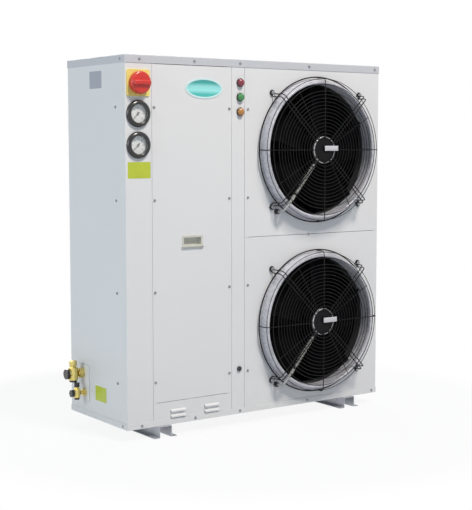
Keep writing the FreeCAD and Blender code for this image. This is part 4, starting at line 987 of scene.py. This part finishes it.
# Three screws that the CAD leaves out: at the head and the foot of the left side, and between the fans
SMALL_SCREWS = [((-554.4, -170, 1276.5), TO_SIDE), ((-554.4, -170, 50), TO_SIDE),
                ((217.5, -201, 668.5), TO_FRONT)]
for node in ("cabinet_screws", "door_screws"):
    heads = []
    for middle, size in solids_of(node):
        across = size.x < size.y
        move = Matrix.Translation(middle) @ (TO_SIDE if across else TO_FRONT)
        heads.append(copied(screw, move))
    if node == "cabinet_screws":
        for spot, turn in SMALL_SCREWS:
            heads.append(copied(screw, Matrix.Translation(Vector(spot) * MM) @ turn))
    hand_in(joined(heads), node + "_recessed", "zinc", BODY_OF[node], [node])
bpy.data.objects.remove(screw)

# %% [markdown]
# ## The finned coil
#
# The condenser fills the back behind its guard: hundreds of thin aluminium fins on copper tubes. One fin
# is a folded strip, copied along the coil with an Array, and the tubes show between the fins.

# %% Fold one fin and copy it along the coil
fins_low, fins_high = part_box("condenser_fins")
FIN_PITCH, FIN_WAVE, FIN_SHEET = 2.6 * MM, 0.5 * MM, 0.25 * MM
pick()
bpy.ops.mesh.primitive_grid_add(x_subdivisions=1, y_subdivisions=8, size=1, rotation=(0, math.pi / 2, 0))
fin = bpy.context.active_object
fin.scale = (fins_high.z - fins_low.z, fins_high.y - fins_low.y - 2 * MM, 1)
fin.location = ((fins_low.x + FIN_PITCH), (fins_low.y + fins_high.y) / 2, (fins_low.z + fins_high.z) / 2)
settled(fin)
levels = sorted({round(vertex.co.y, 5) for vertex in fin.data.vertices})
for vertex in fin.data.vertices:
    vertex.co.x += FIN_WAVE if levels.index(round(vertex.co.y, 5)) % 2 else 0
row = fin.modifiers.new("row", "ARRAY")
row.count = int((fins_high.x - fins_low.x) / FIN_PITCH) - 1
row.use_relative_offset, row.use_constant_offset = False, True
row.constant_offset_displace = (FIN_PITCH, 0, 0)
bpy.ops.object.modifier_apply(modifier=row.name)
thick = fin.modifiers.new("sheet", "SOLIDIFY")
thick.thickness = FIN_SHEET
bpy.ops.object.modifier_apply(modifier=thick.name)
hand_in(fin, "coil_fins", "fin_aluminium", replaced=["condenser_fins"], smooth=20)

# %% Painted shade on the fins: dark on the side of the fans, where they lie in shadow, bare aluminium at the back
SHADE_DEPTH, PAINTED_FIN_SHADE, BARE_FIN = 40 * MM, (0.035, 0.035, 0.038), (0.66, 0.68, 0.70)
fin_shading, shader, place = new_finish("coil_fins_painted_shade", 0.45, metal=0.8)
behind = place.node("ShaderNodeSeparateXYZ", {0: place}, out=1)
# Within 40 mm of the fan side the fins' colour fades into the painted shade
bare = ((behind - fins_low.y) * (1 / SHADE_DEPTH)).clipped()
connect(shader, colour=bare.mixed(PAINTED_FIN_SHADE, BARE_FIN), bump=(place.noise(0.004), 0.00005))
fin.data.materials[0] = fin_shading
print("fins coated")

# %% Two rows of tubes
TUBE_PITCH, TUBE_WIDTH, ROWS = 50 * MM, 9.5, (0.3, 0.7)
tubes = []
level = fins_low.z + TUBE_PITCH / 2
while level < fins_high.z:
    for row_place in ROWS:
        across = fins_low.y + row_place * (fins_high.y - fins_low.y)
        tubes.append(wire([(fins_low.x, across, level), (fins_high.x, across, level)], TUBE_WIDTH))
    level += TUBE_PITCH
hand_in(joined(tubes), "coil_tubes", "copper")

# %% [markdown]
# ## Studio
#
# The unit stands on a plain pale floor in front of white. A high soft box in front is the key, and draws
# the shadows under the fans. One on the left fills the side, a weak one lies over the lid, and one behind
# shows the coil. The world adds a faint blue. Light Path tells the rays that see the backdrop from those
# that only light things, so the white doesn't light the unit.


# %% Rays that see the backdrop
def looked_at(tree):
    """1 for rays from the camera, off a gloss or through glass, and 0 for rays that only light things."""
    rays = tree.nodes.new("ShaderNodeLightPath")
    names = ("Is Camera Ray", "Is Glossy Ray", "Is Transmission Ray")
    kinds = [Shade(tree, rays.outputs[name]) for name in names]
    return sum(kinds[1:], kinds[0]).clipped()


# %% Floor that turns white with distance and keeps the shadow
LIFT, CLEAR_ROUND, FADE, FLOOR_SIDE = 0.90, 1.0, 2.0, 60
pick()
bpy.ops.mesh.primitive_plane_add(size=FLOOR_SIDE, location=(0, 0, -0.5 * MM))
floor = bpy.context.active_object
floor.name = "studio_floor"
floor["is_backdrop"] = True
floor_paint, shader, place = new_finish("studio_floor", 0.9)
tree = floor_paint.node_tree
away = place.node("ShaderNodeVectorMath", {0: place}, out=1, operation="LENGTH")
haze = place.noise(1.5, 2)
connect(shader, colour=haze.mixed((0.58, 0.60, 0.64), (0.62, 0.64, 0.68)))
glow = tree.nodes.new("ShaderNodeEmission")
blend = tree.nodes.new("ShaderNodeMixShader")
backdrop = looked_at(tree)
fading = ((away - CLEAR_ROUND) * (1 / FADE)).clipped()
tree.links.new(((fading + LIFT).clipped() * backdrop).link, blend.inputs[0])
tree.links.new(shader.outputs[0], blend.inputs[1])
tree.links.new(glow.outputs[0], blend.inputs[2])
tree.links.new(blend.outputs[0], tree.nodes["Material Output"].inputs["Surface"])
floor.data.materials.append(floor_paint)

# %% World: white where it is seen, weak and bluish as a light
world = scene.world or bpy.data.worlds.new("studio")
scene.world = world
world.use_nodes = True
sky = world.node_tree
background = sky.nodes["Background"]
seen = looked_at(sky)
AMBIENT, SKY_BLUE, WHITE = 0.20, (0.50, 0.78, 1.0), (1.0, 1.0, 1.0)
sky.links.new((seen * (1 - AMBIENT) + AMBIENT).link, background.inputs["Strength"])
sky.links.new(seen.mixed(SKY_BLUE, WHITE).link, background.inputs["Color"])


# %% Lamps
def lamp(name, place, size, watts, colour=(1, 1, 1)):
    """A square soft box that looks at the unit's middle."""
    light = bpy.data.lights.new(name, "AREA")
    light.size, light.energy, light.color = size, watts, colour
    holder = bpy.data.objects.new(name, light)
    holder.location = place
    holder.rotation_euler = (UNIT_MIDDLE - Vector(place)).to_track_quat("-Z", "Y").to_euler()
    scene.collection.objects.link(holder)


UNIT_MIDDLE = Vector((0, 0, 0.6))
lamp("key_high_front", (0.5, -3.9, 6.4), 1.2, 485, (0.95, 0.88, 0.79))
lamp("fill_left", (-4.9, -0.3, 2.0), 2.4, 94, (0.90, 0.94, 0.90))
lamp("top", (0.3, 0.2, 4.2), 2.0, 8)
lamp("back", (1.8, 4.5, 3.0), 2.2, 125, (1.0, 0.96, 0.92))

# %% Camera, as the photograph was taken
AZIMUTH, ELEVATION, DISTANCE = math.radians(-35.28), math.radians(5.28), 4.22476
AIM = Vector((-0.10838, -0.2, 0.60852))
LENS, SENSOR, FAR = 84.75, 36, 200
level = math.cos(ELEVATION)
out = Vector((math.sin(AZIMUTH) * level, -math.cos(AZIMUTH) * level, math.sin(ELEVATION)))
eye = bpy.data.cameras.new("camera")
eye.lens, eye.sensor_width, eye.clip_end = LENS, SENSOR, FAR
camera = bpy.data.objects.new("camera", eye)
camera.location = AIM + out * DISTANCE
camera.rotation_euler = (-out).to_track_quat("-Z", "Y").to_euler()
scene.collection.objects.link(camera)
scene.camera = camera
scene.view_settings.view_transform = "Standard"
print("camera at", [round(v, 3) for v in camera.location])

# %% [markdown]
# ## The size of the finished model
#
# Dressing must not change the real size, so the finished model's box is found.

# %% Find the finished model's box
low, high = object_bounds()
